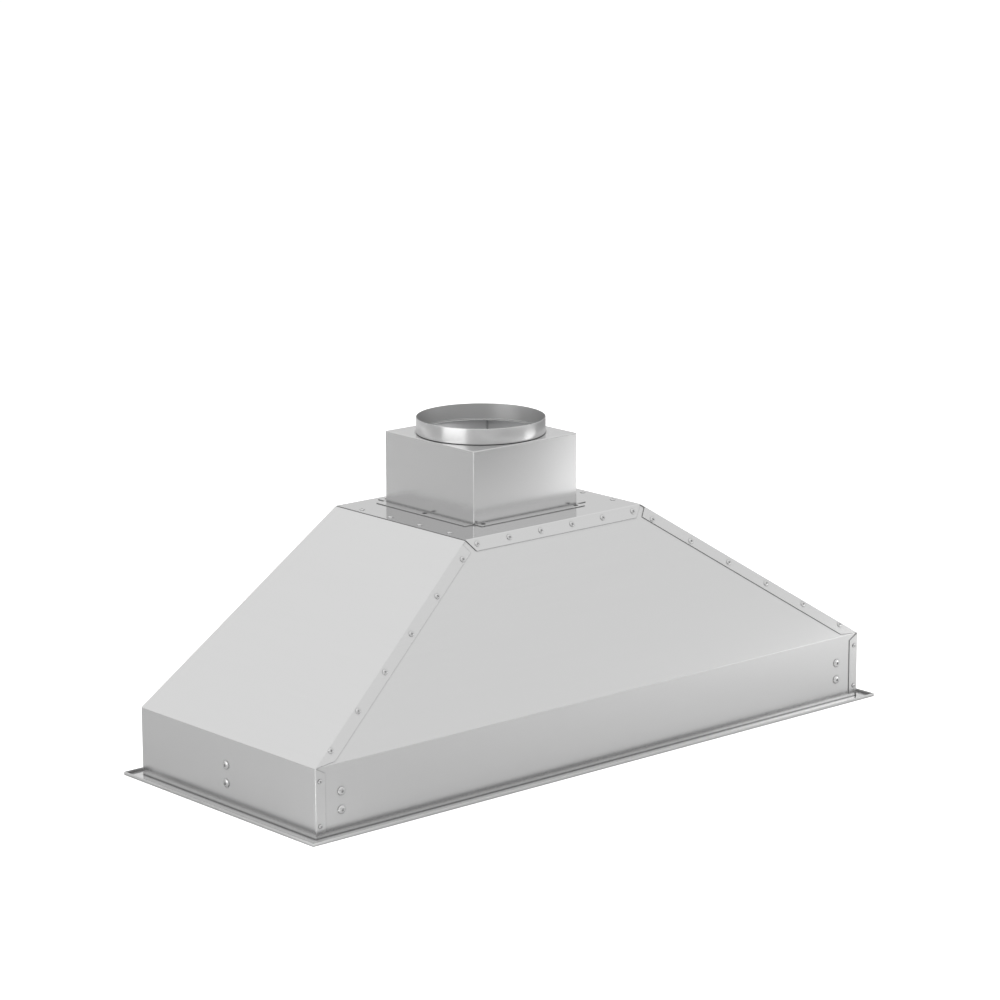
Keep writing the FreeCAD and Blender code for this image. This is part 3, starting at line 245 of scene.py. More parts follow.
def node_solids(node: str) -> list[np.ndarray]:
    """Corner points of each separate solid in a node.

    Corners that share a face get the lowest of their labels, over and over, until no label changes.

    Args:
        node: Name of the node.

    Returns:
        One array of points for each solid.
    """
    mesh = frame["nodes"][node].data
    places = np.zeros(len(mesh.vertices) * 3, dtype=np.float32)
    mesh.vertices.foreach_get("co", places)
    welded, member = np.unique(places.reshape(-1, 3).round(6), axis=0, return_inverse=True)
    mesh.calc_loop_triangles()
    corners = np.zeros(len(mesh.loop_triangles) * 3, dtype=np.int32)
    mesh.loop_triangles.foreach_get("vertices", corners)
    faces = member.reshape(-1)[corners].reshape(-1, 3)
    label = np.arange(len(welded))
    while True:
        lowest = np.repeat(label[faces].min(axis=1), 3)
        renewed = label.copy()
        np.minimum.at(renewed, faces.ravel(), lowest)
        renewed = renewed[renewed]
        if np.array_equal(renewed, label):
            break
        label = renewed
    return [welded[label == one] for one in np.unique(label[faces])]


def as_pin(points: np.ndarray) -> Pin:
    """Read a turned fastener's axis and size from its corner points.

    The points lie in even rings, so their mean is on the axis. Their spread is the same in every direction square
    to the axis, so the axis is the direction whose spread differs most from the other two. The head is the wider
    end, or the narrower one of a low dome that has no shank.

    Args:
        points: Corner points of one solid.

    Returns:
        The fastener.
    """
    middle = points.mean(axis=0)
    spread, directions = np.linalg.eigh(np.cov((points - middle).T))
    odd = 0 if spread[1] - spread[0] > spread[2] - spread[1] else 2
    axis = directions[:, odd]
    along = (points - middle) @ axis
    away = np.linalg.norm(points - middle - along[:, None] * axis, axis=1)
    widest_low = along[away > HEAD_RIM_SHARE * away.max()].mean() < (along.max() + along.min()) / 2
    without_shank = np.ptp(along) < away.max()
    if widest_low != without_shank:
        axis = -axis
        along = -along
    return Pin(middle + along.max() * axis, axis, float(np.ptp(along)), float(away.max()))


def node_pins(node: str) -> list[Pin]:
    """Fasteners of a node, one for each of its solids."""
    return [as_pin(points) for points in node_solids(node)]


# Node sheets

class NodeSheet:
    """A node tree with short ways to add nodes and join them."""

    def __init__(self, tree: bpy.types.NodeTree) -> None:
        """Start from an empty tree."""
        self.tree = tree
        self.tree.nodes.clear()

    def add(self, kind: str, inputs: Mapping[Union[str, int], Feed] | None = None,
            **settings: object) -> bpy.types.Node:
        """Add a node, set it up and feed its inputs.

        Args:
            kind: Blender's name for the kind of node.
            inputs: What goes into each named or numbered input.
            **settings: Values of the node's own settings.

        Returns:
            The new node.
        """
        node = self.tree.nodes.new(kind)
        for key, value in settings.items():
            setattr(node, key, value)
        for key, feed in (inputs or {}).items():
            self.feed(node.inputs[key], feed)
        return node

    def feed(self, socket: Socket, feed: Feed) -> None:
        """Join another node's output to an input, or set the input's own value.

        Args:
            socket: The input.
            feed: An output, or a value.
        """
        if isinstance(feed, bpy.types.NodeSocket):
            self.tree.links.new(feed, socket)
        else:
            socket.default_value = feed

    def math(self, operation: str, first: Feed, second: Feed = 0.0, clamp: bool = False) -> Socket:
        """Result of an arithmetic node."""
        return self.add("ShaderNodeMath", {0: first, 1: second}, operation=operation, use_clamp=clamp).outputs[0]

    def span(self, value: Feed, low: float, high: float, to_low: float = 0.0, to_high: float = 1.0) -> Socket:
        """Carry a value smoothly from one span of numbers to another, and hold it at the ends.

        Args:
            value: The value.
            low: Where the first span starts.
            high: Where the first span ends.
            to_low: Where the second span starts.
            to_high: Where the second span ends.

        Returns:
            The carried value.
        """
        inputs = {"Value": value, "From Min": low, "From Max": high, "To Min": to_low, "To Max": to_high}
        node = self.add("ShaderNodeMapRange", inputs, interpolation_type="SMOOTHSTEP")
        return node.outputs["Result"]

    def blend(self, share: Feed, first: Feed, second: Feed) -> Socket:
        """Mix two colours.

        Args:
            share: Share of the second colour.
            first: The colour at nought.
            second: The colour at one.

        Returns:
            The mixed colour.
        """
        node = self.add("ShaderNodeMix", data_type="RGBA", clamp_factor=True)
        self.feed(node.inputs["Factor"], share)
        self.feed(node.inputs[6], first)
        self.feed(node.inputs[7], second)
        return node.outputs[2]

    def stretch(self, vector: Feed, scale: Feed) -> Socket:
        """Vector times a scale along each axis."""
        return self.add("ShaderNodeVectorMath", {0: vector, 1: scale}, operation="MULTIPLY").outputs["Vector"]

    def noise(self, vector: Feed, scale: Feed, detail: float = 2.0, roughness: float = 0.5) -> Socket:
        """Cloudy noise between nought and one."""
        inputs = {"Vector": vector, "Scale": scale, "Detail": detail, "Roughness": roughness}
        return self.add("ShaderNodeTexNoise", inputs, noise_dimensions="3D").outputs["Fac"]

    def around(self, share: Feed, middle: float, spread: Sequence[float]) -> Socket:
        """Value that goes from below a middle one to above it as a share goes from nought to one."""
        return self.span(share, 0.0, 1.0, middle + spread[0], middle + spread[1])

    def bump(self, height: Feed, depth: float, strength: float, normal: Feed | None = None) -> Socket:
        """Tilt the normal by a height field.

        Args:
            height: Height between nought and one.
            depth: Height of one, in metres.
            strength: Share of the tilt that is kept.
            normal: A normal to start from, if it isn't the surface's own.

        Returns:
            The tilted normal.
        """
        inputs = {"Height": height, "Distance": depth, "Strength": strength}
        if normal is not None:
            inputs["Normal"] = normal
        return self.add("ShaderNodeBump", inputs).outputs[0]

    def principled(self, inputs: Mapping[str, Feed]) -> Socket:
        """Output of a surface shader with the given inputs."""
        return self.add("ShaderNodeBsdfPrincipled", inputs).outputs[0]


class EffectGroup:
    """A node group that several finishes share, built when it is first asked for."""

    title: str = ""
    takes: Sequence[tuple[str, str, Feed]] = ()
    gives: Sequence[tuple[str, str]] = ()
    _built: dict[str, bpy.types.NodeTree] = {}

    @classmethod
    def tree(cls) -> bpy.types.NodeTree:
        """Make the group's tree, once.

        Returns:
            The tree, with its sockets and its inner nodes.
        """
        if cls.title not in cls._built:
            tree = bpy.data.node_groups.new(cls.title, "ShaderNodeTree")
            sheet = NodeSheet(tree)
            for name, kind, value in cls.takes:
                socket = tree.interface.new_socket(name=name, in_out="INPUT", socket_type=kind)
                if kind == "NodeSocketFloat":
                    socket.default_value = value
            for name, kind in cls.gives:
                tree.interface.new_socket(name=name, in_out="OUTPUT", socket_type=kind)
            source = sheet.add("NodeGroupInput")
            target = sheet.add("NodeGroupOutput")
            for name, result in cls.work(sheet, source.outputs).items():
                sheet.feed(target.inputs[name], result)
            cls._built[cls.title] = tree
        return cls._built[cls.title]

    @classmethod
    def work(cls, sheet: NodeSheet, source: Mapping[str, Socket]) -> dict[str, Socket]:
        """Add the nodes inside the group.

        Args:
            sheet: The group's own tree.
            source: The sockets that the group takes.

        Returns:
            What goes into each socket that the group gives.
        """
        raise NotImplementedError

    @classmethod
    def place(cls, sheet: NodeSheet, inputs: Mapping[str, Feed]) -> bpy.types.Node:
        """Put the group into a material.

        Args:
            sheet: The material's tree.
            inputs: What goes into the sockets that the group takes.

        Returns:
            The group's node.
        """
        node = sheet.add("ShaderNodeGroup", node_tree=cls.tree())
        for name, feed in inputs.items():
            sheet.feed(node.inputs[name], feed)
        return node


class SheetGrain(EffectGroup):
    """Brushed grain that runs level along each face of folded sheet.

    Faces that look along the X axis have grain along Y, and all others have it along X. Long thin noise makes the
    streaks, and a wider one makes the bands that a rolling mill leaves.
    """

    title = "sheet_grain"
    takes = (("Vector", "NodeSocketVector", 0.0), ("Facing", "NodeSocketVector", 0.0),
             ("Along", "NodeSocketFloat", 7.0), ("Across", "NodeSocketFloat", 1500.0))
    gives = (("Streak", "NodeSocketFloat"), ("Band", "NodeSocketFloat"))
    end_face_share = 0.3
    band_across_share = 0.045
    band_along_share = 0.25

    @classmethod
    def work(cls, sheet: NodeSheet, source: Mapping[str, Socket]) -> dict[str, Socket]:
        """Two stretched noises, turned by the way that the face looks.

        Args:
            sheet: The group's own tree.
            source: The sockets that the group takes.

        Returns:
            What goes into each socket that the group gives.
        """
        facing = sheet.add("ShaderNodeSeparateXYZ", {0: source["Facing"]}).outputs
        at_end = sheet.math("GREATER_THAN", sheet.math("ABSOLUTE", facing["X"]), cls.end_face_share)
        at_front = sheet.math("SUBTRACT", 1.0, at_end)
        results = {}
        for name, across, along in (("Streak", 1.0, 1.0), ("Band", cls.band_across_share, cls.band_along_share)):
            wide = sheet.math("MULTIPLY", source["Across"], across)
            long = sheet.math("MULTIPLY", source["Along"], along)
            plan = []
            for end_scale, front_scale in ((wide, long), (long, wide)):
                from_end = sheet.math("MULTIPLY", end_scale, at_end)
                plan.append(sheet.math("ADD", from_end, sheet.math("MULTIPLY", front_scale, at_front)))
            scale = sheet.add("ShaderNodeCombineXYZ", {0: plan[0], 1: plan[1], 2: wide}).outputs[0]
            results[name] = sheet.noise(sheet.stretch(source["Vector"], scale), 1.0, detail=3.0, roughness=0.6)
        return results


class SoftEdge(EffectGroup):
    """Small rounding of sharp edges, and a mask of where they are."""

    title = "soft_edge"
    takes = (("Radius", "NodeSocketFloat", 0.0005),)
    gives = (("Normal", "NodeSocketVector"), ("Edge", "NodeSocketFloat"), ("Upright", "NodeSocketFloat"))
    mask_gain = 6.0
    upright_lean = 0.3

    @classmethod
    def work(cls, sheet: NodeSheet, source: Mapping[str, Socket]) -> dict[str, Socket]:
        """The mask is how far the rounded normal leans from the flat one. An upright edge keeps it level.

        Args:
            sheet: The group's own tree.
            source: The sockets that the group takes.

        Returns:
            What goes into each socket that the group gives.
        """
        rounded = sheet.add("ShaderNodeBevel", {"Radius": source["Radius"]}, samples=4).outputs["Normal"]
        flat = sheet.add("ShaderNodeNewGeometry").outputs["Normal"]
        lean = sheet.add("ShaderNodeVectorMath", {0: rounded, 1: flat}, operation="DOT_PRODUCT").outputs["Value"]
        away = sheet.math("SUBTRACT", 1.0, lean)
        edge = sheet.math("MULTIPLY", away, cls.mask_gain, clamp=True)
        rise = sheet.math("ABSOLUTE", sheet.add("ShaderNodeSeparateXYZ", {0: rounded}).outputs["Z"])
        upright = sheet.math("MULTIPLY", edge, sheet.span(rise, 0.0, cls.upright_lean, 1.0, 0.0))
        return {"Normal": rounded, "Edge": edge, "Upright": upright}


class InnerSide(EffectGroup):
    """Mask of the faces that look towards the middle of a hollow piece."""

    title = "inner_side"
    takes = (("Vector", "NodeSocketVector", 0.0), ("Facing", "NodeSocketVector", 0.0),
             ("Middle", "NodeSocketVector", 0.0))
    gives = (("Inner", "NodeSocketFloat"),)

    @classmethod
    def work(cls, sheet: NodeSheet, source: Mapping[str, Socket]) -> dict[str, Socket]:
        """A face looks inwards where its normal and the way out from the middle disagree.

        Args:
            sheet: The group's own tree.
            source: The sockets that the group takes.

        Returns:
            What goes into each socket that the group gives.
        """
        out = sheet.add("ShaderNodeVectorMath", {0: source["Vector"], 1: source["Middle"]}, operation="SUBTRACT")
        meet = sheet.add("ShaderNodeVectorMath", {0: out.outputs["Vector"], 1: source["Facing"]},
                         operation="DOT_PRODUCT").outputs["Value"]
        return {"Inner": sheet.math("LESS_THAN", meet, 0.0)}


class PunchedHoleShade(EffectGroup):
    """Mask of the painted shade in and round upright holes that lie the same in all four quarters."""

    title = "punched_hole_shade"
    takes = (("Vector", "NodeSocketVector", 0.0), ("Middle", "NodeSocketVector", 0.0),
             ("Place", "NodeSocketVector", 0.0), ("Radius", "NodeSocketFloat", 0.003))
    gives = (("Open", "NodeSocketFloat"),)

    @classmethod
    def work(cls, sheet: NodeSheet, source: Mapping[str, Socket]) -> dict[str, Socket]:
        """The plan is folded into one quarter, and the length of the way to the hole's axis is compared.

        Args:
            sheet: The group's own tree.
            source: The sockets that the group takes.

        Returns:
            What goes into each socket that the group gives.
        """
        plan = sheet.stretch(source["Vector"], (1.0, 1.0, 0.0))
        away = sheet.add("ShaderNodeVectorMath", {0: plan, 1: source["Middle"]}, operation="SUBTRACT")
        quarter = sheet.add("ShaderNodeVectorMath", {0: away.outputs["Vector"]}, operation="ABSOLUTE")
        reach = sheet.add("ShaderNodeVectorMath", {0: quarter.outputs["Vector"], 1: source["Place"]},
                          operation="DISTANCE").outputs["Value"]
        return {"Open": sheet.math("GREATER_THAN", reach, source["Radius"])}


class PaintedCreviceShade(EffectGroup):
    """Mask of corners and seams that little light gets into, which the finishes use to paint shade there."""

    title = "painted_crevice_shade"
    takes = (("Distance", "NodeSocketFloat", 0.003), ("Low", "NodeSocketFloat", 0.2))
    gives = (("Open", "NodeSocketFloat"),)
    shut = 0.25
    bare = 0.98

    @classmethod
    def work(cls, sheet: NodeSheet, source: Mapping[str, Socket]) -> dict[str, Socket]:
        """Nought to one as the nearby surfaces leave more of the sky free.

        Args:
            sheet: The group's own tree.
            source: The sockets that the group takes.

        Returns:
            What goes into each socket that the group gives.
        """
        free = sheet.add("ShaderNodeAmbientOcclusion", {"Distance": source["Distance"]}, samples=4).outputs["AO"]
        shade = sheet.span(free, cls.shut, cls.bare)
        return {"Open": sheet.math("MAXIMUM", shade, source["Low"])}


class Handling(EffectGroup):
    """Soft clouds and wipe marks of a surface that has been handled and cleaned."""

    title = "handling"
    takes = (("Vector", "NodeSocketVector", 0.0), ("Scale", "NodeSocketFloat", 5.0))
    gives = (("Cloud", "NodeSocketFloat"), ("Mark", "NodeSocketFloat"), ("Dust", "NodeSocketFloat"))
    mark_scale = 3.7
    dust_scale = 90.0
    cloud_span = (0.35, 0.68)
    mark_width = 0.05
    dust_span = (0.66, 0.8)

    @classmethod
    def work(cls, sheet: NodeSheet, source: Mapping[str, Socket]) -> dict[str, Socket]:
        """Clouds are broad noise, marks the ridges of a finer one, and dust its rare peaks.

        Args:
            sheet: The group's own tree.
            source: The sockets that the group takes.

        Returns:
            What goes into each socket that the group gives.
        """
        vector = source["Vector"]
        cloud = sheet.span(sheet.noise(vector, source["Scale"], roughness=0.45), *cls.cloud_span)
        finer = sheet.math("MULTIPLY", source["Scale"], cls.mark_scale)
        folded = sheet.math("SUBTRACT", sheet.noise(vector, finer, detail=3.0, roughness=0.6), 0.5)
        ridge = sheet.math("ABSOLUTE", folded)
        mark = sheet.span(ridge, 0.0, cls.mark_width, 1.0, 0.0)
        finest = sheet.math("MULTIPLY", source["Scale"], cls.dust_scale)
        dust = sheet.span(sheet.noise(vector, finest), *cls.dust_span)
        return {"Cloud": cloud, "Mark": sheet.math("MULTIPLY", mark, cloud), "Dust": dust}


class FineTexture(EffectGroup):
    """Fine even pitting of cast, moulded or painted surfaces."""

    title = "fine_texture"
    takes = (("Vector", "NodeSocketVector", 0.0), ("Scale", "NodeSocketFloat", 900.0))
    gives = (("Height", "NodeSocketFloat"), ("Tone", "NodeSocketFloat"))

    @classmethod
    def work(cls, sheet: NodeSheet, source: Mapping[str, Socket]) -> dict[str, Socket]:
        """A fine noise for the height and its average for the tone."""
        height = sheet.noise(source["Vector"], source["Scale"], detail=3.0, roughness=0.6)
        return {"Height": height, "Tone": sheet.span(height, *NOISE_SPAN)}


# Finishes

class Pattern(Enum):
    """What a finish's grain follows."""

    FOLDED = "the faces of folded sheet"
    ROLLED = "the piece's own flattened surface"


def scaled(colour: Colour, share: float = 1.0) -> Paint:
    """Colour made darker or lighter by a share, as a shader takes it."""
    return tuple(min(1.0, channel * share) for channel in colour) + (1.0,)


@dataclass(frozen=True)
class HolePattern:
    """Upright punched holes that lie the same on both sides of two middle planes.

    Attributes:
        middle: Where the two planes cross.
        places: The holes of one quarter, from the middle.
        radius: How far the shade of each hole reaches from its axis.
    """

    middle: Place
    places: Sequence[Place]
    radius: float


@dataclass(frozen=True)
class Finish:
    """A material that is built from nodes.

    Attributes:
        name: Name of the material.
    """

    name: str

    def material(self) -> bpy.types.Material:
        """Build the finish.

        Returns:
            The new material.
        """
        made = bpy.data.materials.new(self.name)
        made.use_nodes = True
        sheet = NodeSheet(made.node_tree)
        sheet.add("ShaderNodeOutputMaterial", {"Surface": self.shader(sheet)})
        return made

    def shader(self, sheet: NodeSheet) -> Socket:
        """Add the finish's own nodes.

        Args:
            sheet: The material's empty tree.

        Returns:
            The output that goes to the surface.
        """
        raise NotImplementedError


@dataclass(frozen=True)
class BrushedSteel(Finish):
    """Brushed stainless sheet, satin, with soft folds, faint grain, faint handling marks, painted fold highlights
    and painted shade.

    Attributes:
        colour: What the bare metal reflects straight on.
        roughness: Middle roughness.
        pattern: What the grain follows.
        along: Grain changes in a metre along itself.
        across: Grain changes in a metre across itself.
        grain_depth: Height of the grain.
        grain_tone: How much the grain darkens the metal.
        clouding: How much the handling clouds change the roughness.
        fold_radius: Radius of the outer side of a fold.
        fold_highlight: How far the folds take on the brighter tone of a painted highlight.
        seam_shade: How far from a seam its painted shade reaches.
        across_spread: How much wider the gloss spreads across the grain than along it.
        middle: Middle of the hollow that the sheet's unbrushed side looks towards, if it has one.
        inner_share: How bright the unbrushed side is beside the brushed one.
        inner_haze: How far the unbrushed side scatters light like a matt surface.
        holes: Its punched holes, which get painted shade, if they are seen at a slant.
    """

    colour: Colour = (0.64, 0.64, 0.64)
    roughness: float = 0.26
    pattern: Pattern = Pattern.FOLDED
    along: float = 5.0
    across: float = 1500.0
    grain_depth: float = 4e-7
    grain_tone: float = 0.012
    clouding: float = 0.006
    fold_radius: float = 0.0005
    fold_highlight: float = 0.05
    seam_shade: float = 0.0042
    across_spread: float = 0.0
    middle: Place | None = None
    inner_share: float = 1.15
    inner_haze: float = 0.5
    holes: HolePattern | None = None

    inner_rough = 0.2
    # Tone of the painted fold highlight, as a share of the metal's colour.
    fold_highlight_gain = 1.5
    dust_share = 0.05
    dust_colour = (0.5, 0.49, 0.47, 1.0)
    # Colour of the painted shade in and round the punched holes.
    hole_shade_colour = (0.004, 0.004, 0.004, 1.0)
    band_rough = 0.003
    mark_share = 0.3
    worn_smooth = 0.08
    across_turn = 0.25

    def shader(self, sheet: NodeSheet) -> Socket:
        """Grain, dust, a painted highlight on the folds and painted shade in seams and holes set the tone, and
        grain, bands and clouds the gloss.

        Args:
            sheet: The material's empty tree.

        Returns:
            The output that goes to the surface.
        """
        space = sheet.add("ShaderNodeTexCoord").outputs
        vector = space["UV"] if self.pattern is Pattern.ROLLED else space["Object"]
        facing = (0.0, 0.0, 1.0) if self.pattern is Pattern.ROLLED else space["Normal"]
        grain = SheetGrain.place(sheet, {"Vector": vector, "Facing": facing, "Along": self.along,
                                         "Across": self.across}).outputs
        handled = Handling.place(sheet, {"Vector": space["Object"]}).outputs
        edge = SoftEdge.place(sheet, {"Radius": self.fold_radius}).outputs
        tone = self.brushed_tone(sheet, grain["Streak"], handled["Dust"], edge)
        rough = self.brushed_roughness(sheet, grain["Band"], handled)
        metallic = 1.0
        if self.middle is not None:
            inner = InnerSide.place(sheet, {"Vector": space["Object"], "Facing": space["Normal"],
                                            "Middle": self.middle}).outputs["Inner"]
            tone = sheet.blend(inner, tone, scaled(self.colour, self.inner_share))
            metallic = sheet.math("SUBTRACT", 1.0, sheet.math("MULTIPLY", inner, self.inner_haze))
            rough = sheet.math("ADD", rough, sheet.math("MULTIPLY", inner, self.inner_rough))
        # Painted shade: the tone goes towards black at seams and corners that hide the sky.
        seam_shade = PaintedCreviceShade.place(sheet, {"Distance": self.seam_shade}).outputs["Open"]
        tone = sheet.blend(seam_shade, BLACK, tone)
        rough = sheet.math("SUBTRACT", rough, sheet.math("MULTIPLY", edge["Edge"], self.worn_smooth), clamp=True)
        # Painted shade: the tone goes to near black in and round each punched hole.
        if self.holes:
            solid = self.solid(sheet, space["Object"])
            tone = sheet.blend(solid, self.hole_shade_colour, tone)
            rough = sheet.math("MAXIMUM", rough, sheet.math("SUBTRACT", 1.0, solid))
            metallic = sheet.math("MULTIPLY", metallic, solid)
        bump = sheet.bump(grain["Streak"], self.grain_depth, 1.0, edge["Normal"])
        return sheet.principled({"Base Color": tone, "Metallic": metallic, "Roughness": rough, "Normal": bump,
                                 "Anisotropic": self.across_spread, "Anisotropic Rotation": self.across_turn})

    def solid(self, sheet: NodeSheet, vector: Socket) -> Socket:
        """Mask of the metal beside the punched holes: the product of each hole's own mask.

        Args:
            sheet: The material's tree.
            vector: Place on the piece.

        Returns:
            Nought in a hole's shade, and one elsewhere.
        """
        solid = 1.0
        for place in self.holes.places:
            hole = PunchedHoleShade.place(sheet, {"Vector": vector, "Middle": self.holes.middle, "Place": place,
                                             "Radius": self.holes.radius}).outputs["Open"]
            solid = sheet.math("MULTIPLY", solid, hole)
        return solid

    def brushed_tone(self, sheet: NodeSheet, streak: Socket, dust: Socket, edge: Mapping[str, Socket]) -> Socket:
        """Tone of the brushed side.

        Args:
            sheet: The material's tree.
            streak: The grain's streaks.
            dust: Where dust lies.
            edge: Masks of all folds and of the upright ones.

        Returns:
            The tone with its streaks, dust and painted highlight on the folds.
        """
        highlight_tone = scaled(self.colour, self.fold_highlight_gain)
        tone = sheet.blend(sheet.span(streak, *NOISE_SPAN), scaled(self.colour, 1 - self.grain_tone),
                           scaled(self.colour, 1 + self.grain_tone))
        tone = sheet.blend(sheet.math("MULTIPLY", dust, self.dust_share), tone, self.dust_colour)
        # Painted highlight: every fold is brightened a little, and upright folds fully.
        tone = sheet.blend(sheet.math("MULTIPLY", edge["Edge"], self.fold_highlight), tone, highlight_tone)
        return sheet.blend(edge["Upright"], tone, highlight_tone)

    def brushed_roughness(self, sheet: NodeSheet, band: Socket, handled: Mapping[str, Socket]) -> Socket:
        """Roughness of the brushed side.

        Args:
            sheet: The material's tree.
            band: The grain's broad bands.
            handled: Clouds and wipe marks.

        Returns:
            The roughness with its bands, clouds and marks.
        """
        streaked = sheet.span(band, *NOISE_SPAN, self.roughness - self.band_rough, self.roughness + self.band_rough)
        clouded = sheet.math("MULTIPLY", handled["Cloud"], self.clouding)
        marked = sheet.math("MULTIPLY", handled["Mark"], self.clouding * self.mark_share)
        return sheet.math("ADD", streaked, sheet.math("ADD", clouded, marked))


@dataclass(frozen=True)
class TurnedMetal(Finish):
    """Metal that was turned, formed, ground or polished, with stains, painted shade in its hollows and brighter
    edges.

    Attributes:
        colour: What the bare metal reflects straight on.
        roughness: Middle roughness.
        pit_scale: Changes of the fine texture in a metre.
        pit_depth: Height of the fine texture.
        edge_radius: Radius of its edges.
        seam_shade: How far from a seam its painted shade reaches.
        stain: How much darker its stained places are.
    """

    colour: Colour = (0.62, 0.62, 0.62)
    roughness: float = 0.25
    pit_scale: float = 1200.0
    pit_depth: float = 2e-6
    edge_radius: float = 0.0003
    seam_shade: float = 0.0007
    stain: float = 0.15

    cloud_scale = 18.0
    stain_gain = 0.6
    edge_share = 0.5
    edge_gain = 1.12
    spread = (-0.04, 0.06)
    mark_rough = 0.08

    def shader(self, sheet: NodeSheet) -> Socket:
        """Fine pits set the gloss, and stains, worn edges and painted shade in seams and hollows the tone.

        Args:
            sheet: The material's empty tree.

        Returns:
            The output that goes to the surface.
        """
        vector = sheet.add("ShaderNodeTexCoord").outputs["Object"]
        fine = FineTexture.place(sheet, {"Vector": vector, "Scale": self.pit_scale}).outputs
        handled = Handling.place(sheet, {"Vector": vector, "Scale": self.cloud_scale}).outputs
        edge = SoftEdge.place(sheet, {"Radius": self.edge_radius}).outputs
        stained = sheet.math("MULTIPLY", handled["Cloud"], self.stain)
        tone = sheet.blend(stained, scaled(self.colour), scaled(self.colour, self.stain_gain))
        worn = sheet.math("MULTIPLY", edge["Edge"], self.edge_share)
        tone = sheet.blend(worn, tone, scaled(self.colour, self.edge_gain))
        # Painted shade: the tone goes towards black in seams and hollows that hide the sky.
        tone = sheet.blend(PaintedCreviceShade.place(sheet, {"Distance": self.seam_shade}).outputs["Open"], BLACK, tone)
        rough = sheet.around(fine["Tone"], self.roughness, self.spread)
        rough = sheet.math("ADD", rough, sheet.math("MULTIPLY", handled["Mark"], self.mark_rough))
        bump = sheet.bump(fine["Height"], self.pit_depth, 1.0, edge["Normal"])
        return sheet.principled({"Base Color": tone, "Metallic": 1.0, "Roughness": rough, "Normal": bump})


@dataclass(frozen=True)
class ZincCoat(Finish):
    """Galvanised sheet: a bright zinc coat whose crystals each catch the light a little differently.

    Attributes:
        colour: Colour of a middling crystal.
        crystals: Crystals in a metre.
        roughness: Middle roughness.
    """

    colour: Colour = (0.56, 0.58, 0.6)
    crystals: float = 110.0
    roughness: float = 0.38

    bend_scale = 70.0
    bend_reach = (0.006, 0.006, 0.006)
    cloud_scale = 9.0
    cloud_share = 0.25
    cloud_gain = 0.8
    crystal_gains = (0.86, 1.12)
    edge_radius = 0.0004
    spread = (-0.08, 0.1)
    relief = 6e-6
    relief_strength = 0.6

    def shader(self, sheet: NodeSheet) -> Socket:
        """Cells with bent borders are the crystals, each with its own tone, gloss and height.

        Args:
            sheet: The material's empty tree.

        Returns:
            The output that goes to the surface.
        """
        vector = sheet.add("ShaderNodeTexCoord").outputs["Object"]
        bent = sheet.add("ShaderNodeTexNoise", {"Vector": vector, "Scale": self.bend_scale, "Detail": 2.0})
        shift = sheet.stretch(bent.outputs["Color"], self.bend_reach)
        moved = sheet.add("ShaderNodeVectorMath", {0: vector, 1: shift}, operation="ADD").outputs["Vector"]
        cell = sheet.add("ShaderNodeTexVoronoi", {"Vector": moved, "Scale": self.crystals, "Randomness": 1.0})
        crystal = sheet.add("ShaderNodeSeparateColor", {0: cell.outputs["Color"]}).outputs[0]
        handled = Handling.place(sheet, {"Vector": vector, "Scale": self.cloud_scale}).outputs
        edge = SoftEdge.place(sheet, {"Radius": self.edge_radius}).outputs
        tone = sheet.blend(crystal, *(scaled(self.colour, gain) for gain in self.crystal_gains))
        clouded = sheet.math("MULTIPLY", handled["Cloud"], self.cloud_share)
        tone = sheet.blend(clouded, tone, scaled(self.colour, self.cloud_gain))
        rough = sheet.around(crystal, self.roughness, self.spread)
        bump = sheet.bump(crystal, self.relief, self.relief_strength, edge["Normal"])
        return sheet.principled({"Base Color": tone, "Metallic": 1.0, "Roughness": rough, "Normal": bump})


@dataclass(frozen=True)
class MouldedSkin(Finish):
    """Moulded plastic, rubber or paint with fine pitting and paler, rubbed edges.

    Attributes:
        colour: Its colour.
        roughness: Middle roughness.
        pit_scale: Changes of the pitting in a metre.
        pit_depth: Height of the pitting.
        rub: How far its edges take on the paler tone.
        edge_radius: Radius of its edges.
    """

    colour: Colour
    roughness: float = 0.5
    pit_scale: float = 1400.0
    pit_depth: float = 2e-5
    rub: float = 0.35
    edge_radius: float = 0.0005

    cloud_scale = 22.0
    pale_share = 0.35
    dust_share = 0.2
    dust_colour = (0.42, 0.41, 0.39, 1.0)
    spread = (-0.06, 0.08)
    pit_strength = 0.7

    def shader(self, sheet: NodeSheet) -> Socket:
        """Fine pits set the gloss, and rubbed edges and dust the tone.

        Args:
            sheet: The material's empty tree.

        Returns:
            The output that goes to the surface.
        """
        vector = sheet.add("ShaderNodeTexCoord").outputs["Object"]
        fine = FineTexture.place(sheet, {"Vector": vector, "Scale": self.pit_scale}).outputs
        handled = Handling.place(sheet, {"Vector": vector, "Scale": self.cloud_scale}).outputs
        edge = SoftEdge.place(sheet, {"Radius": self.edge_radius}).outputs
        pale = tuple(channel + (1 - channel) * self.pale_share for channel in self.colour) + (1.0,)
        tone = sheet.blend(sheet.math("MULTIPLY", edge["Edge"], self.rub), scaled(self.colour), pale)
        tone = sheet.blend(sheet.math("MULTIPLY", handled["Dust"], self.dust_share), tone, self.dust_colour)
        rough = sheet.around(fine["Tone"], self.roughness, self.spread)
        bump = sheet.bump(fine["Height"], self.pit_depth, self.pit_strength, edge["Normal"])
        return sheet.principled({"Base Color": tone, "Roughness": rough, "Normal": bump})


